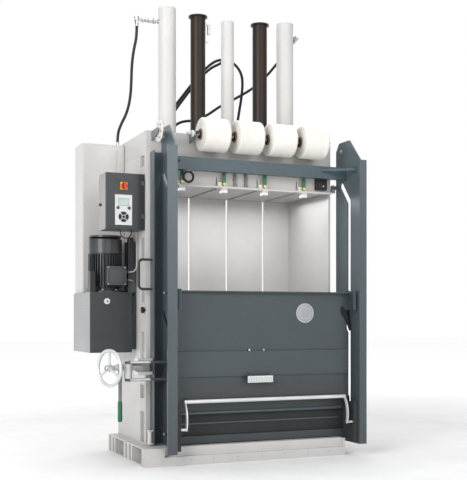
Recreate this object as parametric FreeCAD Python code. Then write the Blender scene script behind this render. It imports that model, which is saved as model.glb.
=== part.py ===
"""Vertical recycling baler: press body on a fork-pocket base, swing door with a lifting loading flap,
press platen under upright cylinders, strap rolls, and the side units with their hoses.

Millimetres. +X right, +Y to the back, +Z up. The origin is the centre of the base's underside.
"""
import FreeCAD
import Part
import math
import os

V = FreeCAD.Vector

# ---------------------------------------------------------------- driving dimensions
# clearances
SEAT_GAP = 0.3
PIN_GAP = 0.05

# base
BASE_W = 1396.0
BASE_D = 834.0
BASE_H = 112.0
BASE_SHEET = 8.0
BASE_RIB = 14.0
FORK_POCKET_W = 200.0
FORK_POCKET_Y = (-246.0, 147.0)
SMALL_BAY_W = 36.0
SMALL_BAY_Y = (-98.0, -10.0, 292.0, 372.0)
TOE_RECESS_X = -569.0
TOE_RECESS_H = 58.0
TOE_RECESS_D = 34.0

# press body
CHAMBER_W = 1200.0
CHAMBER_CX = 83.0
BODY_FRONT = -214.0
BODY_TOP = 2102.0
LEFT_BOX_W = 111.0
RIGHT_WALL = 15.0
BACK_WALL = 15.0
BODY_SHEET = 10.0
HEAD_H = 142.0
HEAD_SHEET = 12.0
FLOOR_T = 15.0
SIDE_WINDOW_W = 90.0
SIDE_WINDOW_SETBACK = 30.0
SIDE_WINDOWS = ((118.0, 200.0), (402.0, 87.0), (647.0, 178.0), (1015.0, 90.0), (1290.0, 137.0), (1880.0, 130.0))
STRAP_SLOT_W = 16.0
STRAP_COUNT = 4
STRAP_PITCH = 291.0
STRAP_CX = 36.0

# upright tubes
TUBE_Y = 105.0
CYL_X = (-377.0, 506.0)
CYL_R = 60.0
CYL_TOP = 3000.0
CYL_WALL = 9.0
GUIDE_X = (-155.0, 310.0)
GUIDE_R = 51.0
GUIDE_TOP = 2975.0
GUIDE_FLANGE_R = 65.0
GUIDE_FLANGE_T = 8.0
GUIDE_WALL = 7.0
SENSOR_DROP = 35.0
SENSOR_H = 140.0
SENSOR_W = 24.0
SENSOR_TAB_W = 16.0
SENSOR_STRIP_T = 10.0
SENSOR_SINK = 4.0
CENTRE_X = 64.0
CENTRE_R = 45.0
CENTRE_TOP = 2962.0
CENTRE_WALL = 8.0
ROD_R = 30.0
CENTRE_ROD_R = 22.0
GUIDE_BAR_R = 36.0
SLIDE_GAP = 0.5

# platen
PLATEN_Z = 1771.0
PLATEN_H = 92.0
PLATEN_GAP = 12.0
PLATEN_SHEET = 15.0
PLATEN_GROOVE_W = 28.0
PLATEN_GROOVE_H = 34.0

# door frame
POST_T = 12.0
POST_FRONT = -504.0
POST_BACK = -226.0
POST_BOTTOM = 79.0
FLANGE_TOP = 1963.0
EAR_TOP = 2115.0
EAR_FRONT = -361.0
DOOR_LEFT = -517.0
DOOR_RIGHT = 758.0
LEFT_FLANGE_W = 52.0
RIGHT_FLANGE_W = 42.0
RIGHT_POST_BACK = -187.0
LIP_X = -602.0
LIP_D = 74.0
LIP_T = 6.0
DOOR_GAP = 6.0
SLOT_W = 47.0
SLOT_Y = -362.0
SLOT_SHIFT = 96.0
SLOT_TOP = 1839.0
SLOT_BEND = 1700.0
ROLLER_Z = 1070.0
LOW_ROLLER_RISE = 75.0
ROLLER_R = SLOT_W / 2 - SEAT_GAP
ROLLER_RIM = 6.0
ROLLER_PIN_R = 8.0
WASHER_R = 16.0
WASHER_T = 5.0
BEAM_Z = 1852.0
BEAM_H = 81.0
BEAM_FRONT = -328.0
BEAM_D = 50.0
BEAM_SHEET = 6.0
BRACE_R = 9.0
BRACE_Y = -449.0
BRACE_Z = 1904.0
BRACE_RUN_RIGHT = 194.0
BRACE_RUN_LEFT = 74.0
PANEL_FRONT = -330.0
PANEL_TOP = 1075.0
PANEL_SHEET = 6.0
SILL_H = 48.0
PANEL_RECESS_TOP = 300.0
PANEL_RECESS_D = 26.0
GUARD_LOW = 95.0
GUARD_TOP = 359.0
GUARD_SLANT_Y = -400.0
GUARD_SLANT_TOP = 430.0
GUARD_FRONT = -482.0
GUARD_BOX = 30.0
GUARD_T = 6.0

# door hinge
HINGE_X = 731.0
HINGE_Y = -190.0
HINGE_Z = (300.0, 1050.0, 1800.0)
HINGE_R = 16.0
HINGE_PIN_R = 9.0
HINGE_T = 24.0

# loading flap
FLAP_BACK = -384.0
FLAP_SHEET = 8.0
FLAP_BOTTOM = 393.0
FLAP_TOP = 1085.0
FLAP_END_GAP = 32.0
FLAP_LIP = 34.0
BAND_Z = 545.0
BAND_H = 158.0
BAND_T = 12.0
ARM_T = 6.0
ARM_GAP = 12.0
ARM_BACK = -336.0
FOOT_H = 12.0
BRACKET_H = 127.0
PULL_X = 62.0
PULL_W = 175.0
PULL_H = 36.0

# ejector bar
BAR_R = 12.0
BAR_Y = -428.0
BAR_Z = 393.0
BAR_PIN_Y = -482.0
BAR_PIN_Z = 225.0
BAR_STOP_Z = 325.0
BAR_LEFT = -448.0
BAR_RIGHT = 690.0
BAR_ARM_W = 22.0
BAR_ARM_T = 7.0

# strap rolls
ROLL_COUNT = 4
ROLL_PITCH = 235.0
ROLL_X0 = -216.0
ROLL_Y = -330.0
ROLL_Z = 2080.0
ROLL_R = 108.5
ROLL_L = 196.0
CORE_BORE_R = 30.0
AXLE_R = 12.0
AXLE_TAIL = 60.0
AXLE_END = 10.0
BRACKET_T = 8.0
AXLE_DISC_R = 78.0
AXLE_DISC_SETOFF = 30.0
STUB_DISC_X = -584.0
STUB_DISC_R = 68.5
DISC_T = 12.0

# strap rail and clamps
RAIL_Z = 1757.0
RAIL_T = 12.0
RAIL_D = 48.0
APRON_T = 12.0
APRON_LAP = 25.0
CLAMP_W = 50.0
CLAMP_H = 30.0
LEVER_L = 92.0
LEVER_W = 24.0
LEVER_T = 7.0
CLAMP_STEP = 1.0

# left side units
CAB_X = (-921.0, -628.0)
CAB_Y = (253.0, 467.0)
CAB_TOP = 2081.0
CTRL_X0 = -884.0
CTRL_Y = (-192.0, -32.0)
CTRL_Z = (1470.0, 1823.0)
CTRL_DOOR_T = 10.0
TANK_X = (-946.0, -669.0)
TANK_Y = (-49.0, 402.0)
TANK_Z = (691.0, 1079.0)
MOTOR_X = -812.0
MOTOR_Y = 85.0
MOTOR_R = 111.0
MOTOR_TOP = 1448.0
MOTOR_CORE_R = 92.0
FIN_COUNT = 36
FIN_T = 4.0
FIN_SETBACK = 2.0
FIN_ROOT = 6.0
FIN_FOOT = 36.0
FLANGE_T = 14.0
FLANGE_OVER = 12.0
COWL_H = 120.0
COWL_DOME_H = 12.0
COWL_DOME_IN = 26.0
RAIN_PLATE_T = 12.0
TERMINAL_X = (-842.0, -720.0)
TERMINAL_Z = (1128.0, 1240.0)
TERMINAL_D = 52.0
TERMINAL_COVER = 10.0
TERMINAL_GLANDS = (1160.0, 1210.0)
GLAND_R = 11.0
JUNCTION_X = (-944.0, -908.0)
JUNCTION_Y = (-45.0, 4.0)
JUNCTION_H = 132.0
PUMP_X = (-686.0, -636.0)
PUMP_Y = (-20.0, 60.0)
PUMP_H = 330.0
PUMP_CAP_R = 20.0
PUMP_CAP_H = 30.0

# closing lock
LOCK_ARM_Z = (533.0, 640.0)
LOCK_ARM_W = 38.0
LOCK_ARM_T = 16.0
LOCK_X = -779.0
LOCK_Y = -324.0
LOCK_TILT = 24.5
SPINDLE_Z = 610.0
SPINDLE_R = 13.0
WHEEL_R = 117.0
WHEEL_TUBE_R = 11.0
WHEEL_OFFSET = 146.0
LOCK_LEVER_OFFSET = 62.0
LOCK_LEVER_L = 328.0
KEEPER_REACH = 74.0
KEEPER_OPEN = 64.0
KEEPER_JAW = 18.0
KEEPER_T = 12.0
KEEPER_D = 76.0
HANDLE_X = -690.0
HANDLE_Z = (1095.0, 1280.0)
HANDLE_R = 8.0

# hoses and cable
HOSE_R = 9.5
CABLE_R = 3.0
FITTING_R = 14.0
NUT_L = 38.0
WASHER_SINK = 4.0
ELBOW_R = 16.0
ELBOW_NECK = 12.0
HOSE_LEFT_ROUTE = ((-590, 105, 2855), (-590, 105, 2785), (-606, 128, 2695), (-609, 158, 2600), (-602, 190, 2505),
                   (-599, 222, 2405), (-611, 262, 2310), (-640, 315, 2235), (-655, 340, 2175), (-655, 340, 2119))
HOSE_LOOP_ROUTE = ((-400, 240, 2140), (-400, 240, 2210), (-365, 240, 2285), (-290, 240, 2360), (-180, 240, 2505),
                   (-80, 240, 2632), (10, 240, 2716), (72, 240, 2742), (139, 240, 2738), (197, 240, 2704),
                   (232, 240, 2646), (238, 240, 2578), (228, 240, 2480), (208, 240, 2370), (190, 240, 2260),
                   (190, 240, 2140))
HOSE_CENTRE_ROUTE = ((-352, 200, 2140), (-352, 200, 2205), (-330, 202, 2280), (-270, 205, 2365), (-185, 205, 2480),
                     (-98, 205, 2590), (-15, 203, 2668), (56, 190, 2700), (114, 160, 2772), (114, 160, 2860))
HOSE_RIGHT_ROUTE = ((-290, 285, 2140), (-290, 285, 2200), (-258, 285, 2260), (-196, 285, 2292), (-110, 285, 2302),
                    (-20, 285, 2345), (80, 285, 2420), (180, 285, 2474), (325, 283, 2562), (425, 272, 2650),
                    (494, 240, 2740), (543, 197, 2811), (583, 153, 2880))
CABLE_ROUTE = ((-764, -110, 1470), (-764, -110, 1448), (-750.5, -110, 1429), (-727, -110, 1421.5),
               (-705.5, -110, 1429), (-692, -110, 1448), (-692, -110, 1470))

# ---------------------------------------------------------------- derived faces
CHAMBER_X0 = CHAMBER_CX - CHAMBER_W / 2
CHAMBER_X1 = CHAMBER_CX + CHAMBER_W / 2
BODY_LEFT = CHAMBER_X0 - LEFT_BOX_W
BODY_RIGHT = CHAMBER_X1 + RIGHT_WALL
BASE_FRONT = -BASE_D / 2
BASE_BACK = BASE_D / 2
BACK_IN = BASE_BACK - BACK_WALL
STRAP_X = [STRAP_CX + (i - (STRAP_COUNT - 1) / 2) * STRAP_PITCH for i in range(STRAP_COUNT)]
ROLL_XS = [ROLL_X0 + i * ROLL_PITCH for i in range(ROLL_COUNT)]
DECK_Z = BODY_TOP
DOOR_BOTTOM = BASE_H + DOOR_GAP
ROLLER_SPACING = ROLLER_Z - DOOR_BOTTOM - LOW_ROLLER_RISE


# ---------------------------------------------------------------- shape helpers
def block(x, y, z):
    """A box between three pairs of limits."""
    return Part.makeBox(x[1] - x[0], y[1] - y[0], z[1] - z[0], V(x[0], y[0], z[0]))


def rod(start, direction, radius, length):
    """A round bar from a start point along a direction."""
    return Part.makeCylinder(radius, length, start, direction)


def plate_yz(points, x0, thickness):
    """A flat plate whose outline lies in the YZ plane, thickened along +X."""
    outline = Part.makePolygon([V(x0, y, z) for y, z in points + points[:1]])
    return Part.Face(outline).extrude(V(thickness, 0, 0))


def fuse(shapes):
    """Pieces that are welded or formed as one."""
    whole = shapes[0]
    for shape in shapes[1:]:
        whole = whole.fuse(shape)
    return whole.removeSplitter()


def cut(shape, tools):
    """A shape with every tool taken out."""
    for tool in tools:
        shape = shape.cut(tool)
    return shape


def group(shapes):
    """Like pieces that stay separate solids in one node."""
    return Part.makeCompound(shapes)


def mirror_x(shape, about):
    """The shape mirrored left to right about a plane X = about."""
    return shape.mirror(V(about, 0, 0), V(1, 0, 0))


def rounded_box(x, y, z, radius):
    """A box with its upright edges rounded."""
    body = block(x, y, z)
    upright = [edge for edge in body.Edges if abs(edge.tangentAt(edge.FirstParameter).z) > 0.9]
    return body.makeFillet(radius, upright)


def hose(points, radius):
    """A round hose along straight runs joined by tangent arcs. Prints its arc radii and checks its volume."""
    pts = [V(*p) for p in points]
    edges = []
    radii = []
    start = pts[0]
    for i in range(1, len(pts) - 1):
        before = pts[i] - pts[i - 1]
        after = pts[i + 1] - pts[i]
        turn = before.getAngle(after)
        shorter = min(before.Length, after.Length)
        bend = 0.45 * shorter / math.tan(turn / 2)
        back = bend * math.tan(turn / 2)
        arc_in = pts[i] - before.normalize() * back
        arc_out = pts[i] + after.normalize() * back
        bisector = (after - before).normalize()
        centre = pts[i] + bisector * (bend / math.cos(turn / 2))
        middle = centre - bisector * bend
        edges.append(Part.LineSegment(start, arc_in).toShape())
        edges.append(Part.Arc(arc_in, middle, arc_out).toShape())
        radii.append(round(bend))
        start = arc_out
    edges.append(Part.LineSegment(start, pts[-1]).toShape())
    path = Part.Wire(edges)
    section = Part.Wire(Part.makeCircle(radius, pts[0], pts[1] - pts[0]))
    tube = path.makePipeShell([section], True, False)
    expected = path.Length * math.pi * radius ** 2
    print("hose: length", round(path.Length), "radii", radii, "volume ratio", round(tube.Volume / expected, 4))
    return tube


# ---------------------------------------------------------------- base and press body
def base_frame():
    """The base: top and bottom sheets on cross ribs, open fork pockets, toe recess, chamber floor."""
    whole = block((-BASE_W / 2, BASE_W / 2), (BASE_FRONT, BASE_BACK), (0, BASE_H))
    bays = [(y, FORK_POCKET_W) for y in FORK_POCKET_Y]
    bays += [(y, SMALL_BAY_W) for y in SMALL_BAY_Y]
    tools = []
    for centre, width in bays:
        tools.append(block((-BASE_W, BASE_W), (centre - width / 2, centre + width / 2),
                           (BASE_SHEET, BASE_H - BASE_SHEET)))
    tools.append(block((TOE_RECESS_X, BASE_W / 2 - BASE_RIB), (BASE_FRONT - 1, BASE_FRONT + TOE_RECESS_D),
                       (BASE_H - TOE_RECESS_H, BASE_H + 1)))
    floor = block((CHAMBER_X0, CHAMBER_X1), (BODY_FRONT, BACK_IN), (BASE_H, BASE_H + FLOOR_T))
    for x in STRAP_X:
        tools.append(block((x - STRAP_SLOT_W, x + STRAP_SLOT_W), (BODY_FRONT - 1, BACK_IN),
                           (BASE_H + FLOOR_T / 3, BASE_H + FLOOR_T + 1)))
    return cut(fuse([whole, floor]), tools)


def left_wall():
    """The left side: a hollow box column, open below and above, with windows near its front corner."""
    outer = block((BODY_LEFT, CHAMBER_X0), (BODY_FRONT, BASE_BACK), (BASE_H, BODY_TOP - HEAD_H))
    inner = block((BODY_LEFT + BODY_SHEET, CHAMBER_X0 - BODY_SHEET),
                  (BODY_FRONT + BODY_SHEET, BASE_BACK - BODY_SHEET),
                  (BASE_H + BODY_SHEET, BODY_TOP - HEAD_H - BODY_SHEET))
    window_front = BODY_FRONT + SIDE_WINDOW_SETBACK
    tools = [inner]
    for low, height in SIDE_WINDOWS:
        top = min(low + height, BODY_TOP - HEAD_H - BODY_SHEET)
        tools.append(block((BODY_LEFT - 1, BODY_LEFT + BODY_SHEET + 1),
                           (window_front, window_front + SIDE_WINDOW_W),
                           (max(low, BASE_H + BODY_SHEET), top)))
    return cut(outer, tools)


def right_wall():
    """The right side: a plain plate."""
    return block((CHAMBER_X1, BODY_RIGHT), (BODY_FRONT, BASE_BACK), (BASE_H, BODY_TOP - HEAD_H))


def back_wall():
    """The chamber's back plate with an upright strap slot behind each strap."""
    plate = block((CHAMBER_X0, CHAMBER_X1), (BACK_IN, BASE_BACK), (BASE_H, BODY_TOP - HEAD_H))
    tools = [block((x - STRAP_SLOT_W / 2, x + STRAP_SLOT_W / 2), (BACK_IN - 1, BASE_BACK + 1),
                   (BASE_H + FLOOR_T, PLATEN_Z)) for x in STRAP_X]
    return cut(plate, tools)


def head_frame():
    """The head: a box beam round the top of the body, closed by the deck that carries the tubes."""
    outer = block((BODY_LEFT, BODY_RIGHT), (BODY_FRONT, BASE_BACK), (BODY_TOP - HEAD_H, BODY_TOP))
    inner = block((BODY_LEFT + HEAD_SHEET, BODY_RIGHT - HEAD_SHEET),
                  (BODY_FRONT + HEAD_SHEET, BASE_BACK - HEAD_SHEET),
                  (BODY_TOP - HEAD_H - 1, BODY_TOP - HEAD_SHEET))
    holes = [rod(V(x, TUBE_Y, BODY_TOP - HEAD_H), V(0, 0, 1), ROD_R + SLIDE_GAP, HEAD_H + 1) for x in CYL_X]
    holes += [rod(V(x, TUBE_Y, BODY_TOP - HEAD_H), V(0, 0, 1), GUIDE_BAR_R + SLIDE_GAP, HEAD_H + 1)
              for x in GUIDE_X]
    holes.append(rod(V(CENTRE_X, TUBE_Y, BODY_TOP - HEAD_H), V(0, 0, 1), CENTRE_ROD_R + SLIDE_GAP, HEAD_H + 1))
    return cut(outer, [inner] + holes)


# ---------------------------------------------------------------- upright tubes
def upright_tube(x, radius, wall, top, bar_radius):
    """A closed-top tube on the deck, bored for what slides inside it, with a foot ring."""
    outer = rod(V(x, TUBE_Y, DECK_Z), V(0, 0, 1), radius, top - DECK_Z)
    foot = rod(V(x, TUBE_Y, DECK_Z), V(0, 0, 1), radius + 12, 14)
    bore = rod(V(x, TUBE_Y, DECK_Z + 30), V(0, 0, 1), radius - wall, top - DECK_Z - 30 - wall)
    gland = rod(V(x, TUBE_Y, DECK_Z - 1), V(0, 0, 1), bar_radius + SLIDE_GAP, 40)
    return cut(fuse([outer, foot]), [bore, gland])


def press_cylinders():
    return group([upright_tube(x, CYL_R, CYL_WALL, CYL_TOP, ROD_R) for x in CYL_X])


def guide_tubes():
    tubes = []
    for x in GUIDE_X:
        tube = upright_tube(x, GUIDE_R, GUIDE_WALL, GUIDE_TOP - GUIDE_FLANGE_T, GUIDE_BAR_R)
        flange = rod(V(x, TUBE_Y, GUIDE_TOP - GUIDE_FLANGE_T), V(0, 0, 1), GUIDE_FLANGE_R, GUIDE_FLANGE_T)
        tubes.append(fuse([tube, flange]))
    return group(tubes)


def centre_cylinder():
    return upright_tube(CENTRE_X, CENTRE_R, CENTRE_WALL, CENTRE_TOP, CENTRE_ROD_R)


def piston(x, rod_radius, bore_radius, top):
    """A piston rod from the platen up to its piston head near the top of the tube."""
    low = PLATEN_Z + PLATEN_H
    stem = rod(V(x, TUBE_Y, low), V(0, 0, 1), rod_radius, top - low)
    head = rod(V(x, TUBE_Y, top - 60), V(0, 0, 1), bore_radius - SLIDE_GAP, 60)
    return fuse([stem, head])


def piston_rods():
    """Two press rods, the middle rod and two guide bars, all standing on the platen."""
    parts = [piston(x, ROD_R, CYL_R - CYL_WALL, CYL_TOP - CYL_WALL - 20) for x in CYL_X]
    parts.append(piston(CENTRE_X, CENTRE_ROD_R, CENTRE_R - CENTRE_WALL, CENTRE_TOP - CENTRE_WALL - 20))
    parts += [piston(x, GUIDE_BAR_R, GUIDE_R - GUIDE_WALL, GUIDE_TOP - GUIDE_FLANGE_T - GUIDE_WALL - 20)
              for x in GUIDE_X]
    return group(parts)


def press_platen():
    """The press platen: a ribbed tray, open above, with strap grooves along its underside."""
    x = (CHAMBER_X0 + PLATEN_GAP, CHAMBER_X1 - PLATEN_GAP)
    y = (BODY_FRONT + PLATEN_GAP, BACK_IN - PLATEN_GAP)
    body = block(x, y, (PLATEN_Z, PLATEN_Z + PLATEN_H))
    tools = []
    for centre in STRAP_X:
        tools.append(block((centre - PLATEN_GROOVE_W / 2, centre + PLATEN_GROOVE_W / 2), (y[0] - 1, y[1] + 1),
                           (PLATEN_Z - 1, PLATEN_Z + PLATEN_GROOVE_H)))
    bays = [x[0]] + STRAP_X + [x[1]]
    rib = PLATEN_GROOVE_W / 2 + PLATEN_SHEET
    for i in range(len(bays) - 1):
        left = bays[i] + (PLATEN_SHEET if i == 0 else rib)
        right = bays[i + 1] - (PLATEN_SHEET if i == len(bays) - 2 else rib)
        for low, high in ((y[0] + PLATEN_SHEET, TUBE_Y - 90), (TUBE_Y + 90, y[1] - PLATEN_SHEET)):
            tools.append(block((left, right), (low, high), (PLATEN_Z + PLATEN_SHEET, PLATEN_Z + PLATEN_H + 1)))
    return cut(body, tools)


# ---------------------------------------------------------------- door frame
def slot_tool(x, top):
    """The cutter of one guide slot: an upright run whose top leans back, with round ends."""
    bottom = top - SLOT_TOP + ROLLER_Z
    bend = top - SLOT_TOP + SLOT_BEND
    half = SLOT_W / 2
    run = block((x - 1, x + POST_T + 1), (SLOT_Y - half, SLOT_Y + half), (bottom, bend))
    foot = rod(V(x - 1, SLOT_Y, bottom), V(1, 0, 0), half, POST_T + 2)
    rise = top - half - bend
    lean = math.atan2(SLOT_SHIFT, rise)
    reach = math.hypot(SLOT_SHIFT, rise)
    knee = rod(V(x - 1, SLOT_Y, bend), V(1, 0, 0), half, POST_T + 2)
    branch = block((x - 1, x + POST_T + 1), (SLOT_Y - half, SLOT_Y + half), (bend, bend + reach))
    branch.rotate(V(x, SLOT_Y, bend), V(1, 0, 0), -math.degrees(lean))
    end = rod(V(x - 1, SLOT_Y + SLOT_SHIFT, bend + rise), V(1, 0, 0), half, POST_T + 2)
    return fuse([run, foot, knee, branch, end])


def post_plate(x, back, bottom_points):
    """One door post's side plate with its pointed ear and two guide slots."""
    outline = bottom_points + [(POST_FRONT, FLANGE_TOP), (EAR_FRONT, EAR_TOP), (-229.0, EAR_TOP), (back, 2060.0)]
    plate = plate_yz(outline, x, POST_T)
    return cut(plate, [slot_tool(x, SLOT_TOP), slot_tool(x, SLOT_TOP - ROLLER_SPACING)])


def door_post_left():
    """Left post: slotted plate, front flange turned out, and a deep outer lip joined at the back."""
    step = BASE_FRONT - DOOR_GAP
    plate = post_plate(DOOR_LEFT - POST_T, POST_BACK,
                       [(POST_BACK, DOOR_BOTTOM), (step, DOOR_BOTTOM), (step, POST_BOTTOM),
                        (POST_FRONT, POST_BOTTOM)])
    flange = block((DOOR_LEFT - POST_T - LEFT_FLANGE_W, DOOR_LEFT), (POST_FRONT, POST_FRONT + POST_T),
                   (POST_BOTTOM, FLANGE_TOP))
    rear = block((LIP_X, DOOR_LEFT - POST_T), (POST_BACK - LIP_T, POST_BACK), (DOOR_BOTTOM, FLANGE_TOP))
    lip = block((LIP_X, LIP_X + LIP_T), (POST_BACK - LIP_D, POST_BACK), (DOOR_BOTTOM, FLANGE_TOP))
    return fuse([plate, flange, rear, lip])


def door_post_right():
    """Right post: slotted plate with its front flange turned out."""
    plate = post_plate(DOOR_RIGHT, RIGHT_POST_BACK, [(RIGHT_POST_BACK, POST_BOTTOM), (POST_FRONT, POST_BOTTOM)])
    flange = block((DOOR_RIGHT, DOOR_RIGHT + POST_T + RIGHT_FLANGE_W), (POST_FRONT, POST_FRONT + POST_T),
                   (POST_BOTTOM, FLANGE_TOP))
    return fuse([plate, flange])


def door_crossbeam():
    """The top beam between the posts: a folded channel open at the back, with a corner brace each end."""
    outer = block((DOOR_LEFT, DOOR_RIGHT), (BEAM_FRONT, BEAM_FRONT + BEAM_D), (BEAM_Z, BEAM_Z + BEAM_H))
    inner = block((DOOR_LEFT - 1, DOOR_RIGHT + 1), (BEAM_FRONT + BEAM_SHEET, BEAM_FRONT + BEAM_D + 1),
                  (BEAM_Z + BEAM_SHEET, BEAM_Z + BEAM_H - BEAM_SHEET))
    beam = outer.cut(inner)
    right = brace(DOOR_RIGHT, DOOR_RIGHT - BRACE_RUN_RIGHT)
    left = brace(DOOR_LEFT, DOOR_LEFT + BRACE_RUN_LEFT)
    between_posts = block((DOOR_LEFT, DOOR_RIGHT), (BRACE_Y - BEAM_D, BEAM_FRONT + BEAM_D),
                          (BEAM_Z - BEAM_H, BEAM_Z + 2 * BEAM_H))
    return fuse([beam, right, left]).common(between_posts)


def brace(x_plate, x_beam):
    """A level round brace from a post plate to the beam's front face."""
    start = V(x_plate, BRACE_Y, BRACE_Z)
    end = V(x_beam, BEAM_FRONT + BEAM_SHEET, BRACE_Z)
    bar = rod(start, end - start, BRACE_R, (end - start).Length)
    foot = block(sorted((x_plate, x_plate + math.copysign(6, x_beam - x_plate))),
                 (BRACE_Y - 22, BRACE_Y + 22), (BRACE_Z - 22, BRACE_Z + 22))
    return fuse([bar, foot])


def lower_door():
    """The fixed lower door: a folded skin with a sill below and a recess above it, closed by the posts."""
    sill = DOOR_BOTTOM + SILL_H
    outline = [(PANEL_FRONT, DOOR_BOTTOM), (PANEL_FRONT, sill), (PANEL_FRONT + PANEL_RECESS_D, sill),
               (PANEL_FRONT + PANEL_RECESS_D, PANEL_RECESS_TOP), (PANEL_FRONT, PANEL_RECESS_TOP),
               (PANEL_FRONT, PANEL_TOP), (POST_BACK - DOOR_GAP, PANEL_TOP), (POST_BACK - DOOR_GAP, DOOR_BOTTOM)]
    shell = plate_yz(outline, DOOR_LEFT, DOOR_RIGHT - DOOR_LEFT)
    t = PANEL_SHEET
    back = POST_BACK - DOOR_GAP - t
    recess = PANEL_FRONT + PANEL_RECESS_D + t
    inside = [(PANEL_FRONT + t, DOOR_BOTTOM + t), (PANEL_FRONT + t, sill - t), (recess, sill - t),
              (recess, PANEL_RECESS_TOP + t), (PANEL_FRONT + t, PANEL_RECESS_TOP + t),
              (PANEL_FRONT + t, PANEL_TOP - t), (back, PANEL_TOP - t), (back, DOOR_BOTTOM + t)]
    hollow = plate_yz(inside, DOOR_LEFT - 1, DOOR_RIGHT - DOOR_LEFT + 2)
    return shell.cut(hollow)


def slot_guards():
    """A box over each lower guide slot: a cheek plate with a slanted top edge, closed at the front."""
    step = BASE_FRONT - DOOR_GAP
    face = PANEL_FRONT - SEAT_GAP
    outline = [(GUARD_FRONT, GUARD_LOW), (GUARD_FRONT, GUARD_TOP), (GUARD_SLANT_Y, GUARD_TOP),
               (face, GUARD_SLANT_TOP), (face, DOOR_BOTTOM), (step, DOOR_BOTTOM), (step, GUARD_LOW)]
    guards = []
    for x_plate, side in ((DOOR_RIGHT, -1), (DOOR_LEFT, 1)):
        x_web = x_plate + side * GUARD_BOX
        web = plate_yz(outline, min(x_web, x_web - side * GUARD_T), GUARD_T)
        front = block(sorted((x_plate, x_web)), (GUARD_FRONT, GUARD_FRONT + GUARD_T),
                      (GUARD_LOW, GUARD_TOP))
        guards.append(fuse([web, front]))
    return group(guards)


def door_handle():
    """The U handle on the left post's outer lip."""
    y = POST_BACK - LIP_D / 2
    low, high = HANDLE_Z
    bend = 26.0
    arcs = [
        Part.LineSegment(V(LIP_X, y, low), V(HANDLE_X + bend, y, low)).toShape(),
        Part.Arc(V(HANDLE_X + bend, y, low),
                 V(HANDLE_X + bend * (1 - math.sin(math.pi / 4)), y, low + bend * (1 - math.sin(math.pi / 4))),
                 V(HANDLE_X, y, low + bend)).toShape(),
        Part.LineSegment(V(HANDLE_X, y, low + bend), V(HANDLE_X, y, high - bend)).toShape(),
        Part.Arc(V(HANDLE_X, y, high - bend),
                 V(HANDLE_X + bend * (1 - math.sin(math.pi / 4)), y, high - bend * (1 - math.sin(math.pi / 4))),
                 V(HANDLE_X + bend, y, high)).toShape(),
        Part.LineSegment(V(HANDLE_X + bend, y, high), V(LIP_X, y, high)).toShape()]
    section = Part.Wire(Part.makeCircle(HANDLE_R, V(LIP_X, y, low), V(1, 0, 0)))
    return Part.Wire(arcs).makePipeShell([section], True, False)


def lock_arms():
    """Two flat arms from the left post that hold the lock's swivel block between them."""
    arms = []
    for z in LOCK_ARM_Z:
        bar = block((LOCK_X, DOOR_LEFT - POST_T), (LOCK_Y - LOCK_ARM_W / 2, LOCK_Y + LOCK_ARM_W / 2),
                    (z - LOCK_ARM_T / 2, z + LOCK_ARM_T / 2))
        end = rod(V(LOCK_X, LOCK_Y, z - LOCK_ARM_T / 2), V(0, 0, 1), LOCK_ARM_W / 2, LOCK_ARM_T)
        hole = rod(V(LOCK_X, LOCK_Y, z - LOCK_ARM_T), V(0, 0, 1), 10.3, LOCK_ARM_T * 2)
        arms.append(fuse([bar, end]).cut(hole))
    return group(arms)


def hinge_knuckles():
    """The door's hinge knuckles, one above each body bracket."""
    knuckles = []
    for z in HINGE_Z:
        low = z + SEAT_GAP
        leaf = block((HINGE_X, DOOR_RIGHT), (HINGE_Y - HINGE_R, HINGE_Y + 3), (low, low + HINGE_T))
        eye = rod(V(HINGE_X, HINGE_Y, low), V(0, 0, 1), HINGE_R, HINGE_T)
        hole = rod(V(HINGE_X, HINGE_Y, low - 1), V(0, 0, 1), HINGE_PIN_R + PIN_GAP, HINGE_T + 2)
        knuckles.append(fuse([leaf, eye]).cut(hole))
    return group(knuckles)


def hinge_brackets():
    """The body's hinge brackets with their pins."""
    brackets = []
    for z in HINGE_Z:
        leaf = block((BODY_RIGHT, HINGE_X), (HINGE_Y - HINGE_R, HINGE_Y + HINGE_R), (z - HINGE_T, z))
        eye = rod(V(HINGE_X, HINGE_Y, z - HINGE_T), V(0, 0, 1), HINGE_R, HINGE_T)
        pin = rod(V(HINGE_X, HINGE_Y, z - 1), V(0, 0, 1), HINGE_PIN_R, HINGE_T + 8)
        brackets.append(fuse([leaf, eye, pin]))
    return group(brackets)


# ---------------------------------------------------------------- loading flap
FLAP_X0 = DOOR_LEFT + FLAP_END_GAP
FLAP_X1 = DOOR_RIGHT - FLAP_END_GAP


def flap_panel():
    """The flap: one folded sheet with a lip turned forward at its top, and a raised band across it."""
    x = (FLAP_X0, FLAP_X1)
    front = FLAP_BACK - FLAP_SHEET
    sheet = block(x, (front, FLAP_BACK), (FLAP_BOTTOM, FLAP_TOP))
    lip = block(x, (front - FLAP_LIP, FLAP_BACK), (FLAP_TOP - FLAP_SHEET, FLAP_TOP))
    band = block(x, (front - BAND_T, front), (BAND_Z, BAND_Z + BAND_H))
    return fuse([sheet, lip, band])


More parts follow.
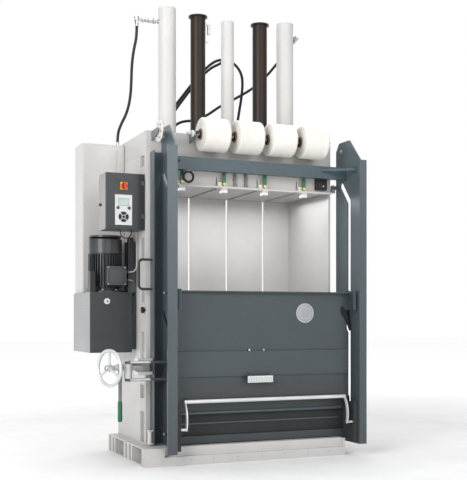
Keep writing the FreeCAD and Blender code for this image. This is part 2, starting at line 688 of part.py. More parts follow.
def flap_arms():
    """Upper and lower guide brackets of the flap, each carrying a roller pin through its slot."""
    arms = []
    front = FLAP_BACK - FLAP_SHEET
    arm_x1 = DOOR_RIGHT - ARM_GAP
    arm_x0 = arm_x1 - ARM_T
    low_z = ROLLER_Z - ROLLER_SPACING
    upper = plate_yz([(GUARD_FRONT, FLAP_TOP + 8 - BRACKET_H), (GUARD_FRONT, FLAP_TOP + 8),
                      (ARM_BACK, FLAP_TOP + 8), (ARM_BACK, FLAP_TOP + 8 - BRACKET_H)], arm_x0, ARM_T)
    face = block((FLAP_X1, arm_x1), (GUARD_FRONT, GUARD_FRONT + ARM_T),
                 (FLAP_TOP + 8 - BRACKET_H, FLAP_TOP + 8))
    tie = block((FLAP_X1, arm_x0), (front, FLAP_BACK), (FLAP_TOP + 8 - BRACKET_H, FLAP_TOP))
    lower = plate_yz([(front, low_z - 30), (front, FLAP_BOTTOM), (ARM_BACK, FLAP_BOTTOM), (ARM_BACK, low_z - 30)],
                     arm_x0, ARM_T)
    foot = block((FLAP_X1, arm_x0), (front, FLAP_BACK), (FLAP_BOTTOM - FOOT_H, FLAP_BOTTOM))
    hang = block((FLAP_X1 - 60, FLAP_X1), (front, FLAP_BACK), (FLAP_BOTTOM - FOOT_H, FLAP_BOTTOM))
    top_pin = rod(V(arm_x1, SLOT_Y, ROLLER_Z), V(1, 0, 0), ROLLER_PIN_R, ARM_GAP + POST_T + WASHER_T + 9)
    low_pin = rod(V(arm_x1, SLOT_Y, low_z), V(1, 0, 0), ROLLER_PIN_R, ARM_GAP + POST_T + WASHER_T + 9)
    upper_arm = fuse([upper, face, tie, top_pin])
    lower_arm = fuse([lower, foot, hang, low_pin])
    middle = (DOOR_LEFT + DOOR_RIGHT) / 2
    for arm in (upper_arm, lower_arm):
        arms.append(arm)
        arms.append(mirror_x(arm, middle))
    return group(arms)


def flap_rollers():
    """Four guide rollers on the bracket pins, each with a rim inside the post and a washer outside it."""
    rollers = []
    middle = (DOOR_LEFT + DOOR_RIGHT) / 2
    for z in (ROLLER_Z, ROLLER_Z - ROLLER_SPACING):
        inner = DOOR_RIGHT - ROLLER_RIM - 1
        wheel = rod(V(inner, SLOT_Y, z), V(1, 0, 0), ROLLER_R, DOOR_RIGHT + POST_T - inner)
        rim = rod(V(inner, SLOT_Y, z), V(1, 0, 0), ROLLER_R + ROLLER_RIM, ROLLER_RIM)
        washer = rod(V(DOOR_RIGHT + POST_T, SLOT_Y, z), V(1, 0, 0), WASHER_R, WASHER_T)
        bore = rod(V(DOOR_RIGHT - ARM_GAP, SLOT_Y, z), V(1, 0, 0), ROLLER_PIN_R + PIN_GAP, ARM_GAP + POST_T * 3)
        roller = fuse([wheel, rim, washer]).cut(bore)
        rollers.append(roller)
        rollers.append(mirror_x(roller, middle))
    return group(rollers)


def pull_bar():
    """The pull bar below the raised band: two stand-offs and a flat grip strip."""
    front = FLAP_BACK - FLAP_SHEET - BAND_T
    x = (PULL_X - PULL_W / 2, PULL_X + PULL_W / 2)
    strip = block(x, (front - 46, front - 40), (BAND_Z - PULL_H - 6, BAND_Z - 6))
    ledge = block((x[0], x[1]), (front - 46, front), (BAND_Z - 6, BAND_Z))
    clips = [block((cx - 9, cx + 9), (front - 5, front), (BAND_Z, BAND_Z + 22)) for cx in (x[0] + 22, x[1] - 22)]
    return fuse([strip, ledge] + clips)


# ---------------------------------------------------------------- ejector bar
def ejector_bar():
    """The bright bar across the front on two curved flat arms, hinged on pins in the slot guards."""
    bar = rod(V(BAR_LEFT, BAR_Y, BAR_Z), V(1, 0, 0), BAR_R, BAR_RIGHT - BAR_LEFT)
    parts = [bar]
    for x in (BAR_LEFT, BAR_RIGHT - BAR_ARM_T):
        parts.append(curved_arm(x))
    web_left = DOOR_LEFT + GUARD_BOX + SEAT_GAP
    web_right = DOOR_RIGHT - GUARD_BOX - SEAT_GAP
    parts.append(rod(V(web_left, BAR_PIN_Y + 22, BAR_PIN_Z), V(1, 0, 0), 8.0, BAR_LEFT + BAR_ARM_T - web_left))
    parts.append(rod(V(BAR_RIGHT - BAR_ARM_T, BAR_PIN_Y + 22, BAR_PIN_Z), V(1, 0, 0), 8.0,
                     web_right - BAR_RIGHT + BAR_ARM_T))
    return fuse(parts)


def curved_arm(x):
    """One bowed flat arm from the pin up to the bar."""
    half = BAR_ARM_W / 2
    pin = (BAR_PIN_Y + 22, BAR_PIN_Z)
    knee = (BAR_PIN_Y + 18, BAR_STOP_Z)
    top = (BAR_Y, BAR_Z)
    front = Part.Arc(V(x, pin[0] - half, pin[1]), V(x, knee[0] - half, knee[1]), V(x, top[0] - half, top[1]))
    rear = Part.Arc(V(x, top[0] + half, top[1]), V(x, knee[0] + half, knee[1] - 12), V(x, pin[0] + half, pin[1]))
    cap = Part.Arc(V(x, top[0] - half, top[1]), V(x, top[0], top[1] + half), V(x, top[0] + half, top[1]))
    foot = Part.Arc(V(x, pin[0] + half, pin[1]), V(x, pin[0], pin[1] - half), V(x, pin[0] - half, pin[1]))
    outline = Part.Wire([front.toShape(), cap.toShape(), rear.toShape(), foot.toShape()])
    return Part.Face(outline).extrude(V(BAR_ARM_T, 0, 0))


# ---------------------------------------------------------------- strap rolls, rail and clamps
def strap_roll(x):
    """One strap roll wound on its core."""
    outer = rod(V(x - ROLL_L / 2, ROLL_Y, ROLL_Z), V(1, 0, 0), ROLL_R, ROLL_L)
    bore = rod(V(x - ROLL_L / 2 - 1, ROLL_Y, ROLL_Z), V(1, 0, 0), CORE_BORE_R, ROLL_L + 2)
    edges = [edge for edge in outer.Edges if edge.Closed]
    return outer.makeFillet(5.0, edges).cut(bore)


def roll_axle():
    """The rolls' common rod with a hub sleeve inside each core."""
    start = ROLL_XS[0] - ROLL_PITCH / 2 - AXLE_TAIL
    end = ROLL_XS[-1] + ROLL_PITCH / 2 + AXLE_END
    parts = [rod(V(start, ROLL_Y, ROLL_Z), V(1, 0, 0), AXLE_R, end - start)]
    for x in ROLL_XS:
        parts.append(rod(V(x - ROLL_L / 2 + 6, ROLL_Y, ROLL_Z), V(1, 0, 0), CORE_BORE_R - SEAT_GAP, ROLL_L - 12))
    return fuse(parts)


def bracket_plate(x):
    """A plate standing out from the head's front face to the axle's height."""
    return plate_yz([(BODY_FRONT, ROLL_Z - 42), (BODY_FRONT, ROLL_Z + 18), (ROLL_Y, ROLL_Z + 20),
                     (ROLL_Y - 20, ROLL_Z), (ROLL_Y, ROLL_Z - 20)], x - BRACKET_T / 2, BRACKET_T)


def roll_brackets():
    """Brackets between and beside the rolls, with a stub bracket at the far left."""
    plates = []
    xs = [x - ROLL_PITCH / 2 for x in ROLL_XS] + [ROLL_XS[-1] + ROLL_PITCH / 2]
    for x in xs:
        hole = rod(V(x - BRACKET_T, ROLL_Y, ROLL_Z), V(1, 0, 0), AXLE_R + 2 * PIN_GAP, BRACKET_T * 2)
        plates.append(bracket_plate(x).cut(hole))
    plates.append(bracket_plate(STUB_DISC_X - BRACKET_T / 2))
    return group(plates)


def end_discs():
    """Two thin white discs: one on the axle's left end, one on the stub bracket."""
    axle_x = ROLL_XS[0] - ROLL_PITCH / 2 - AXLE_DISC_SETOFF
    on_axle = rod(V(axle_x, ROLL_Y, ROLL_Z), V(1, 0, 0), AXLE_DISC_R, DISC_T)
    hole = rod(V(axle_x - DISC_T, ROLL_Y, ROLL_Z), V(1, 0, 0), AXLE_R + 2 * PIN_GAP, DISC_T * 3)
    on_stub = rod(V(STUB_DISC_X, ROLL_Y, ROLL_Z), V(1, 0, 0), STUB_DISC_R, DISC_T)
    return group([on_axle.cut(hole), on_stub])


def strap_rail():
    """The apron below the head with its ledge, thin strap slits and a foot under each clamp."""
    x = (CHAMBER_X0, CHAMBER_X1)
    apron = block(x, (BODY_FRONT - APRON_T, BODY_FRONT), (RAIL_Z, BODY_TOP - HEAD_H + APRON_LAP))
    ledge = block(x, (BODY_FRONT - RAIL_D, BODY_FRONT - APRON_T), (RAIL_Z, RAIL_Z + RAIL_T))
    feet = [block((c - 20, c + 20), (BODY_FRONT - RAIL_D, BODY_FRONT - APRON_T), (RAIL_Z - 32, RAIL_Z))
            for c in STRAP_X]
    slits = [block((c - 46, c - 38), (BODY_FRONT - APRON_T - 1, BODY_FRONT + 1), (RAIL_Z + 22, RAIL_Z + 74))
             for c in STRAP_X]
    return cut(fuse([apron, ledge] + feet), slits)


CLAMP_Y = (BODY_FRONT - RAIL_D + 4, BODY_FRONT - APRON_T - 4)


def clamp_blocks():
    """Four brass clamp blocks on the ledge."""
    blocks = []
    for x in STRAP_X:
        body = block((x - CLAMP_W / 2, x + CLAMP_W / 2), (CLAMP_Y[0] + LEVER_T + CLAMP_STEP, CLAMP_Y[1]),
                     (RAIL_Z + RAIL_T, RAIL_Z + RAIL_T + CLAMP_H))
        groove = block((x - 12, x + 12), (CLAMP_Y[0] + LEVER_T + 7, CLAMP_Y[1] - 5),
                       (RAIL_Z + RAIL_T + 12, RAIL_Z + RAIL_T + CLAMP_H + 1))
        blocks.append(body.cut(groove))
    return group(blocks)


def clamp_lever(x):
    """One green clamp lever, turning on a pin in the block's front face."""
    z = RAIL_Z + RAIL_T + CLAMP_H / 2
    y0 = CLAMP_Y[0] + CLAMP_STEP - SEAT_GAP
    arm = block((x - LEVER_W / 2, x + LEVER_W / 2), (y0, y0 + LEVER_T), (z, z + LEVER_L))
    eye = rod(V(x, y0, z), V(0, 1, 0), LEVER_W / 2, LEVER_T)
    return fuse([arm, eye])


# ---------------------------------------------------------------- left side units
def service_cabinet():
    """The tall cabinet on the tank box, against the left wall, with a pressed slot high on its front."""
    body = rounded_box(CAB_X, CAB_Y, (TANK_Z[1], CAB_TOP), 10.0)
    press = block((-690.0, -674.0), (CAB_Y[0] - 1, CAB_Y[0] + 3), (1890.0, 2040.0))
    return body.cut(press)


def control_box():
    """The control box: a shell open at the front behind its door."""
    outer = rounded_box((CTRL_X0, BODY_LEFT), CTRL_Y, CTRL_Z, 4.0)
    inner = block((CTRL_X0 + 4, BODY_LEFT - 4), (CTRL_Y[0] - 1, CTRL_Y[1] - 4), (CTRL_Z[0] + 4, CTRL_Z[1] - 4))
    return outer.cut(inner)


CTRL_DOOR_Y = (CTRL_Y[0] - 0.5 - CTRL_DOOR_T, CTRL_Y[0] - 0.5)
CTRL_DOOR_X = (CTRL_X0, BODY_LEFT - 6.0)
SWITCH_X = -769.0
SWITCH_Z = 1742.0
SWITCH_PLATE = 48.0
SWITCH_PLATE_T = 3.0
KEYS_X = -771.0
KEYS_Z = 1592.0


def control_door():
    """The control box's door with a raised square plate under the main switch."""
    door = rounded_box(CTRL_DOOR_X, CTRL_DOOR_Y, CTRL_Z, 3.0)
    half = SWITCH_PLATE / 2
    plate = block((SWITCH_X - half, SWITCH_X + half), (CTRL_DOOR_Y[0] - SWITCH_PLATE_T, CTRL_DOOR_Y[0]),
                  (SWITCH_Z - half, SWITCH_Z + half))
    return fuse([door, plate])


def key_panel():
    """The membrane key plate: display window, two round keys and a ring of four with a centre key."""
    face = CTRL_DOOR_Y[0]
    plate = block((KEYS_X - 55, KEYS_X + 55), (face - 4, face), (KEYS_Z - 95, KEYS_Z + 95))
    window = block((KEYS_X - 32, KEYS_X + 32), (face - 5, face - 2.5), (KEYS_Z + 28, KEYS_Z + 68))
    return plate.cut(window)


def switch_knob():
    """The main switch: a round skirt with a grip bar."""
    face = CTRL_DOOR_Y[0] - SWITCH_PLATE_T - SEAT_GAP
    skirt = rod(V(SWITCH_X, face, SWITCH_Z), V(0, -1, 0), 20.0, 10)
    grip = block((SWITCH_X - 7, SWITCH_X + 7), (face - 32, face - 10), (SWITCH_Z - 21, SWITCH_Z + 21))
    return fuse([skirt, grip])


def power_pack_box():
    """The box that holds the oil tank, on the body's left side, with a mounting frame to the wall."""
    body = rounded_box(TANK_X, TANK_Y, TANK_Z, 5.0)
    mount = block((TANK_X[1], BODY_LEFT), (TANK_Y[0] + 40, TANK_Y[1] - 40), (TANK_Z[0] + 20, TANK_Z[1] - 20))
    return fuse([body, mount])


def filler_cap():
    z = TANK_Z[1] - 58
    cap = rod(V(-836.0, TANK_Y[0], z), V(0, -1, 0), 19.0, 9)
    hub = rod(V(-836.0, TANK_Y[0] - 9, z), V(0, -1, 0), 8.0, 5)
    return fuse([cap, hub])


def motor_body():
    """The upright finned motor with its foot flange and drive shaft end."""
    base = TANK_Z[1]
    flange = rod(V(MOTOR_X, MOTOR_Y, base), V(0, 0, 1), MOTOR_R + FLANGE_OVER, FLANGE_T)
    core = rod(V(MOTOR_X, MOTOR_Y, base + FLANGE_T), V(0, 0, 1), MOTOR_CORE_R,
               MOTOR_TOP - COWL_H - base - FLANGE_T)
    parts = [flange, core]
    for i in range(FIN_COUNT):
        fin = block((MOTOR_X + MOTOR_CORE_R - FIN_ROOT, MOTOR_X + MOTOR_R - FIN_SETBACK),
                    (MOTOR_Y - FIN_T / 2, MOTOR_Y + FIN_T / 2), (base + FIN_FOOT, MOTOR_TOP - COWL_H - FIN_T))
        fin.rotate(V(MOTOR_X, MOTOR_Y, 0), V(0, 0, 1), i * 360.0 / FIN_COUNT)
        parts.append(fin)
    return parts[0].fuse(parts[1:])


def motor_cowl():
    """The domed fan cowl on top of the motor, with its rain plate."""
    low = MOTOR_TOP - COWL_H
    shoulder = MOTOR_TOP - RAIN_PLATE_T - COWL_DOME_H
    drum = rod(V(MOTOR_X, MOTOR_Y, low), V(0, 0, 1), MOTOR_R, shoulder - low)
    dome = Part.makeCone(MOTOR_R, MOTOR_R - COWL_DOME_IN, COWL_DOME_H, V(MOTOR_X, MOTOR_Y, shoulder), V(0, 0, 1))
    plate = rod(V(MOTOR_X, MOTOR_Y, MOTOR_TOP - RAIN_PLATE_T), V(0, 0, 1), MOTOR_R - 4, RAIN_PLATE_T)
    return fuse([drum, dome, plate])


def terminal_box():
    """The motor's terminal box with its cover and two cable glands."""
    back = MOTOR_Y - MOTOR_R + FIN_SETBACK - SEAT_GAP
    face = back - TERMINAL_D
    body = rounded_box(TERMINAL_X, (face, back), TERMINAL_Z, 8.0)
    cover = rounded_box((TERMINAL_X[0] - 4, TERMINAL_X[1] + 4), (face - TERMINAL_COVER, face),
                        (TERMINAL_Z[0] - 4, TERMINAL_Z[1] + 4), 4.0)
    glands = [rod(V(TERMINAL_X[1], back - TERMINAL_D / 2, z), V(1, 0, 0), GLAND_R, GLAND_R * 2)
              for z in TERMINAL_GLANDS]
    return fuse([body, cover] + glands)


def pump_block():
    """The pump and valve block behind the motor, standing on the box."""
    top = TANK_Z[1] + PUMP_H
    body = block(PUMP_X, PUMP_Y, (TANK_Z[1], top))
    cap = rod(V(sum(PUMP_X) / 2, sum(PUMP_Y) / 2, top), V(0, 0, 1), PUMP_CAP_R, PUMP_CAP_H)
    return fuse([body, cap])


def junction_box():
    return rounded_box(JUNCTION_X, JUNCTION_Y, (TANK_Z[1], TANK_Z[1] + JUNCTION_H), 4.0)


# ---------------------------------------------------------------- closing lock
def spindle_direction():
    return V(math.cos(math.radians(LOCK_TILT)), math.sin(math.radians(LOCK_TILT)), 0)


def lock_point(offset, z=SPINDLE_Z):
    """A point on the spindle's line, measured from the swivel block towards the body."""
    return V(LOCK_X, LOCK_Y, z) + spindle_direction() * offset


def lock_spindle():
    """The swivel block between the lock arms, its pivot, and the threaded spindle through it."""
    low = LOCK_ARM_Z[0] + LOCK_ARM_T / 2 + 0.3
    high = LOCK_ARM_Z[1] - LOCK_ARM_T / 2 - 0.3
    swivel = rod(V(LOCK_X, LOCK_Y, low), V(0, 0, 1), 27.0, high - low)
    pin = rod(V(LOCK_X, LOCK_Y, LOCK_ARM_Z[0] - LOCK_ARM_T / 2 - 6), V(0, 0, 1), 10.0,
              LOCK_ARM_Z[1] - LOCK_ARM_Z[0] + LOCK_ARM_T + 12)
    spindle = rod(lock_point(-WHEEL_OFFSET + 12.3), spindle_direction(), SPINDLE_R, WHEEL_OFFSET + 96)
    nose = rod(lock_point(60), spindle_direction(), 22.0, 50)
    return fuse([swivel, pin, spindle, nose])


def handwheel():
    """The handwheel: a round rim, three spokes and a hub on the spindle's end."""
    centre = lock_point(-WHEEL_OFFSET)
    axis = spindle_direction()
    rim = Part.makeTorus(WHEEL_R - WHEEL_TUBE_R, WHEEL_TUBE_R, centre, axis)
    hub = rod(centre - axis * 20, axis, 22.0, 32)
    parts = [rim, hub]
    side = axis.cross(V(0, 0, 1))
    for i in range(3):
        angle = math.radians(90 + 120 * i)
        reach = side * math.cos(angle) + V(0, 0, 1) * math.sin(angle)
        parts.append(rod(centre, reach, 8.0, WHEEL_R - WHEEL_TUBE_R))
    return parts[0].fuse(parts[1:])


def lock_lever():
    """The lock lever: an eye round the spindle, a flat tapering arm and a round grip at its end."""
    centre = lock_point(-LOCK_LEVER_OFFSET)
    axis = spindle_direction()
    eye = rod(centre - axis * 7, axis, 26.0, 14)
    side = axis.cross(V(0, 0, 1))
    outline = []
    for across, down in ((-15, 10), (15, 10), (10, LOCK_LEVER_L - 110), (-10, LOCK_LEVER_L - 110)):
        outline.append(centre - axis * 4 + side * across - V(0, 0, 1) * down)
    arm = Part.Face(Part.makePolygon(outline + outline[:1])).extrude(axis * 8)
    grip = rod(centre - V(0, 0, 1) * LOCK_LEVER_L, V(0, 0, 1), 12.5, 120)
    hole = rod(centre - axis * 20, axis, SPINDLE_R + 0.3, 40)
    return fuse([eye, arm, grip]).cut(hole)


def keeper():
    """The lock keeper on the body's front corner: a bracket with two jaws above and below the lock's nose."""
    x = (BODY_LEFT - KEEPER_REACH, BODY_LEFT + 20)
    half = KEEPER_OPEN / 2
    low = SPINDLE_Z - half - KEEPER_JAW
    high = SPINDLE_Z + half
    plate = block(x, (BODY_FRONT - KEEPER_T, BODY_FRONT), (low, high + KEEPER_JAW))
    jaws = [block(x, (BODY_FRONT - KEEPER_D, BODY_FRONT - KEEPER_T), (z, z + KEEPER_JAW)) for z in (low, high)]
    return fuse([plate] + jaws)


# ---------------------------------------------------------------- hoses, cable, fittings
def nut(start, direction):
    """A hex gland nut with a round collar, from its seat to the hose's end."""
    corners = [V(FITTING_R * math.cos(math.radians(60 * i)), FITTING_R * math.sin(math.radians(60 * i)), 0)
               for i in range(7)]
    flats = Part.Face(Part.Wire(Part.makePolygon(corners))).extrude(V(0, 0, NUT_L / 2))
    collar = rod(V(0, 0, 0), V(0, 0, 1), FITTING_R - 3, NUT_L)
    whole = fuse([flats, collar])
    whole.Placement = FreeCAD.Placement(start, FreeCAD.Rotation(V(0, 0, 1), direction))
    return whole


def elbow(tube_x, tube_radius, hose_end, hose_next):
    """An elbow from a tube's side to the nut that the hose ends in, shaped to the tube it sits on."""
    direction = (V(*hose_next) - V(*hose_end)).normalize()
    corner = V(*hose_end) - direction * (NUT_L + ELBOW_NECK)
    axis_point = V(tube_x, TUBE_Y, corner.z)
    out = (corner - axis_point).normalize()
    seat = axis_point + out * (tube_radius - WASHER_SINK)
    stub = rod(seat, out, FITTING_R - 4, (corner - seat).Length)
    washer = rod(seat, out, FITTING_R, WASHER_SINK + 8)
    body = rod(corner - direction * ELBOW_R, direction, ELBOW_R, ELBOW_R + ELBOW_NECK)
    whole = fuse([stub, washer, body, nut(V(*hose_end) - direction * NUT_L, direction)])
    return whole.cut(rod(V(tube_x, TUBE_Y, DECK_Z), V(0, 0, 1), tube_radius, CYL_TOP - DECK_Z))


def hose_fittings():
    """The elbows on the tubes and the glands on the deck and the cabinet."""
    parts = [elbow(CYL_X[0], CYL_R, HOSE_LEFT_ROUTE[0], HOSE_LEFT_ROUTE[1]),
             elbow(CENTRE_X, CENTRE_R, HOSE_CENTRE_ROUTE[-1], HOSE_CENTRE_ROUTE[-2]),
             elbow(CYL_X[1], CYL_R, HOSE_RIGHT_ROUTE[-1], HOSE_RIGHT_ROUTE[-2])]
    for end in (HOSE_LEFT_ROUTE[-1], HOSE_LOOP_ROUTE[0], HOSE_LOOP_ROUTE[-1], HOSE_CENTRE_ROUTE[0],
                HOSE_RIGHT_ROUTE[0]):
        parts.append(nut(V(*end) - V(0, 0, NUT_L), V(0, 0, 1)))
    return group(parts)


def tube_sensor():
    """The galvanised sensor bracket at the top of the left guide tube, with its switch."""
    x = GUIDE_X[0] + GUIDE_R - SENSOR_SINK
    face = x + SENSOR_STRIP_T
    top = GUIDE_TOP - SENSOR_DROP
    low = top - SENSOR_H
    strip = block((x, face), (TUBE_Y - SENSOR_W / 2, TUBE_Y + SENSOR_W / 2), (low, top))
    y_tab = (TUBE_Y - SENSOR_TAB_W / 2, TUBE_Y + SENSOR_TAB_W / 2)
    arm = block((face, face + 30), y_tab, (top - 15, top - 7))
    switch = block((face + 14, face + 34), (TUBE_Y - 10, TUBE_Y + 10), (top - 80, top - 15))
    tab = block((face, face + 20), y_tab, (low + 6, low + 16))
    tube = rod(V(GUIDE_X[0], TUBE_Y, DECK_Z), V(0, 0, 1), GUIDE_R, GUIDE_TOP - DECK_Z)
    return fuse([strip, arm, switch, tab]).cut(tube)


NODES = {
    "base_frame": base_frame,
    "left_wall": left_wall,
    "right_wall": right_wall,
    "back_wall": back_wall,
    "head_frame": head_frame,
    "press_cylinders": press_cylinders,
    "guide_tubes": guide_tubes,
    "centre_cylinder": centre_cylinder,
    "piston_rods": piston_rods,
    "press_platen": press_platen,
    "door_post_left": door_post_left,
    "door_post_right": door_post_right,
    "door_crossbeam": door_crossbeam,
    "lower_door": lower_door,
    "slot_guards": slot_guards,
    "door_handle": door_handle,
    "lock_arms": lock_arms,
    "hinge_knuckles": hinge_knuckles,
    "hinge_brackets": hinge_brackets,
    "flap_panel": flap_panel,
    "flap_arms": flap_arms,
    "flap_rollers": flap_rollers,
    "pull_bar": pull_bar,
    "ejector_bar": ejector_bar,
    "roll_axle": roll_axle,
    "roll_brackets": roll_brackets,
    "end_discs": end_discs,
    "strap_rail": strap_rail,
    "clamp_blocks": clamp_blocks,
    "service_cabinet": service_cabinet,
    "control_box": control_box,
    "control_door": control_door,
    "key_panel": key_panel,
    "switch_knob": switch_knob,
    "power_pack_box": power_pack_box,
    "filler_cap": filler_cap,
    "motor_body": motor_body,
    "motor_cowl": motor_cowl,
    "terminal_box": terminal_box,
    "pump_block": pump_block,
    "junction_box": junction_box,
    "lock_spindle": lock_spindle,
    "handwheel": handwheel,
    "lock_lever": lock_lever,
    "lock_keeper": keeper,
    "hose_fittings": hose_fittings,
    "tube_sensor": tube_sensor,
    "hose_left": lambda: hose(HOSE_LEFT_ROUTE, HOSE_R),
    "hose_loop": lambda: hose(HOSE_LOOP_ROUTE, HOSE_R),
    "hose_centre": lambda: hose(HOSE_CENTRE_ROUTE, HOSE_R),
    "hose_right": lambda: hose(HOSE_RIGHT_ROUTE, HOSE_R),
    "control_cable": lambda: hose(CABLE_ROUTE, CABLE_R),
}
for number, roll_x in enumerate(ROLL_XS, 1):
    NODES["strap_roll_%d" % number] = lambda x=roll_x: strap_roll(x)
for number, strap_x in enumerate(STRAP_X, 1):
    NODES["clamp_lever_%d" % number] = lambda x=strap_x: clamp_lever(x)

os.makedirs("parts", exist_ok=True)
for name, make in NODES.items():
    shape = make()
    print(name, "solids", len(shape.Solids), "valid", shape.isValid(), "volume", round(shape.Volume / 1e6, 3))
    shape.exportStep("parts/%s.step" % name)
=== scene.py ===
import bpy
import bmesh
import math
import random
from mathutils import Matrix, Vector


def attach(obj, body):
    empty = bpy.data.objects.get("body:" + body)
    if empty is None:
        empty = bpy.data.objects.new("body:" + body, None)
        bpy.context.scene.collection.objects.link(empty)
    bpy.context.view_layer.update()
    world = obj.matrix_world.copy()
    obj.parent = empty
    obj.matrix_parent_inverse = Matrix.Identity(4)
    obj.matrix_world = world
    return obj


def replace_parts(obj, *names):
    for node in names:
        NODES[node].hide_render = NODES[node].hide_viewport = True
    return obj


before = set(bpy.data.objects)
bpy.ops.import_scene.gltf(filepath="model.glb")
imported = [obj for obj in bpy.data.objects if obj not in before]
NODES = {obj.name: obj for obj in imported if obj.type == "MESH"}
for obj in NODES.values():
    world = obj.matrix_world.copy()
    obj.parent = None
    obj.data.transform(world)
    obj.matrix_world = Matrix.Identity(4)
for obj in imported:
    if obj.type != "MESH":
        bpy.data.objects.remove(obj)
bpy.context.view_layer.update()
random.seed(7)

# Sizes and places are in millimetres here, in the row frame, and turned to metres where meshes are made.
MM = 0.001


# ------------------------------------------------------------------ colour and material helpers
def lin(r, g, b):
    """An sRGB colour, 0 to 255, as linear values."""
    def one(v):
        v = v / 255.0
        return v / 12.92 if v <= 0.04045 else ((v + 0.055) / 1.055) ** 2.4
    return (one(r), one(g), one(b), 1.0)


def node(tree, kind, **values):
    """A new node of a kind, with its settings."""
    n = tree.nodes.new(kind)
    for key, value in values.items():
        setattr(n, key, value)
    return n


def noise(tree, place, scale, detail):
    """A noise's value over a place."""
    n = node(tree, "ShaderNodeTexNoise")
    n.inputs["Scale"].default_value = scale
    n.inputs["Detail"].default_value = detail
    tree.links.new(place, n.inputs["Vector"])
    return n.outputs["Fac"]


def map_range(tree, value, start, end, low=0.0, high=1.0):
    """A socket's value, taken from the range start to end to the range low to high."""
    n = node(tree, "ShaderNodeMapRange")
    for limit, number in (("From Min", start), ("From Max", end), ("To Min", low), ("To Max", high)):
        n.inputs[limit].default_value = number
    tree.links.new(value, n.inputs["Value"])
    return n.outputs["Result"]


def mix(tree, first, second, second_rgb, amount, blend="MIX"):
    """A colour mixed with a socket or a fixed colour, by a number or by a socket."""
    m = node(tree, "ShaderNodeMix", data_type="RGBA", blend_type=blend)
    tree.links.new(first, m.inputs["A"])
    if second is None:
        m.inputs["B"].default_value = second_rgb
    else:
        tree.links.new(second, m.inputs["B"])
    if isinstance(amount, float):
        m.inputs["Factor"].default_value = amount
    else:
        tree.links.new(amount, m.inputs["Factor"])
    return m.outputs["Result"]


# Noise scales are per metre. Each range says where its value starts an effect, and where the effect is full.
CLOUD_SCALE = 3.2
CLOUD_RANGE = (0.34, 0.66)
STREAK_STRETCH = (26.0, 26.0, 1.3)
SPECK_SCALE = 34.0
SPECK_RANGE = (0.58, 0.78)
RUBBED_RANGE = (0.53, 0.62)
ROUGH_SPREAD = 0.09
GRAIN_DEPTH = 0.001
FULL_CHANNEL = 255
BLACK_COLOUR = (0.0, 0.0, 0.0, 1.0)
WHITE_COLOUR = (1.0, 1.0, 1.0, 1.0)
DUST_COLOUR = lin(176, 172, 164)
RUBBED_COLOUR = lin(120, 122, 124)


def clouded(t, cloud, rgb, vary):
    """A colour that is a little darker and lighter over a cloud's value."""
    ramp = node(t, "ShaderNodeValToRGB")
    dark, light = ramp.color_ramp.elements
    dark.position, light.position = CLOUD_RANGE
    dark.color = lin(*[v * (1 - vary) for v in rgb])
    light.color = lin(*[min(FULL_CHANNEL, v * (1 + vary)) for v in rgb])
    t.links.new(cloud, ramp.inputs["Fac"])
    return ramp.outputs["Color"]


def streaked(t, colour, place, amount):
    """A colour with upright streaks."""
    stretch = node(t, "ShaderNodeMapping")
    stretch.inputs["Scale"].default_value = STREAK_STRETCH
    t.links.new(place, stretch.inputs["Vector"])
    return mix(t, colour, noise(t, stretch.outputs["Vector"], 1.0, 4.0), None, amount, "MULTIPLY")


def shaded(t, colour, place, low, high, factor):
    """A colour with painted shade: it falls from its own value at the height high to factor of it at low, in
    metres.
    """
    apart = node(t, "ShaderNodeSeparateXYZ")
    t.links.new(place, apart.inputs["Vector"])
    return mix(t, colour, None, BLACK_COLOUR, map_range(t, apart.outputs["Z"], low, high, 1.0 - factor, 0.0))


def dusted(t, colour, place, amount):
    """A colour with specks of dust."""
    specks = noise(t, place, SPECK_SCALE, 8.0)
    return mix(t, colour, None, DUST_COLOUR, map_range(t, specks, *SPECK_RANGE, high=amount))


def rubbed(t, colour, amount):
    """A colour that is rubbed off on outer edges."""
    edges = node(t, "ShaderNodeNewGeometry").outputs["Pointiness"]
    return mix(t, colour, None, RUBBED_COLOUR, map_range(t, edges, *RUBBED_RANGE, high=amount))


def surface(name, rgb, rough=0.45, metal=0.0, vary=0.06, wear=0.0, grain=260.0, bump=0.05, coat=0.0,
            streak=0.0, dust=0.0, specular=0.5, shade=None):
    """A finish with cloudy colour, fine grain, uneven roughness, and where asked streaks, dust, rubbed edges.

    shade holds the last three values of shaded, which paint shade that darkens towards the bottom.
    """
    m = bpy.data.materials.new(name)
    m.use_nodes = True
    t = m.node_tree
    bsdf = t.nodes["Principled BSDF"]
    bsdf.inputs["Metallic"].default_value = metal
    bsdf.inputs["Coat Weight"].default_value = coat
    bsdf.inputs["Specular IOR Level"].default_value = specular
    place = node(t, "ShaderNodeTexCoord").outputs["Object"]
    cloud = noise(t, place, CLOUD_SCALE, 6.0)
    colour = clouded(t, cloud, rgb, vary)
    if streak:
        colour = streaked(t, colour, place, streak)
    # Painted shade: the colour darkens towards the bottom.
    if shade:
        colour = shaded(t, colour, place, *shade)
    if dust:
        colour = dusted(t, colour, place, dust)
    if wear:
        colour = rubbed(t, colour, wear)
    t.links.new(colour, bsdf.inputs["Base Color"])
    level = map_range(t, cloud, 0.0, 1.0, max(0.02, rough - ROUGH_SPREAD), min(1.0, rough + ROUGH_SPREAD))
    t.links.new(level, bsdf.inputs["Roughness"])
    lift = node(t, "ShaderNodeBump")
    lift.inputs["Strength"].default_value = bump
    lift.inputs["Distance"].default_value = GRAIN_DEPTH
    t.links.new(noise(t, place, grain, 3.0), lift.inputs["Height"])
    t.links.new(lift.outputs["Normal"], bsdf.inputs["Normal"])
    return m


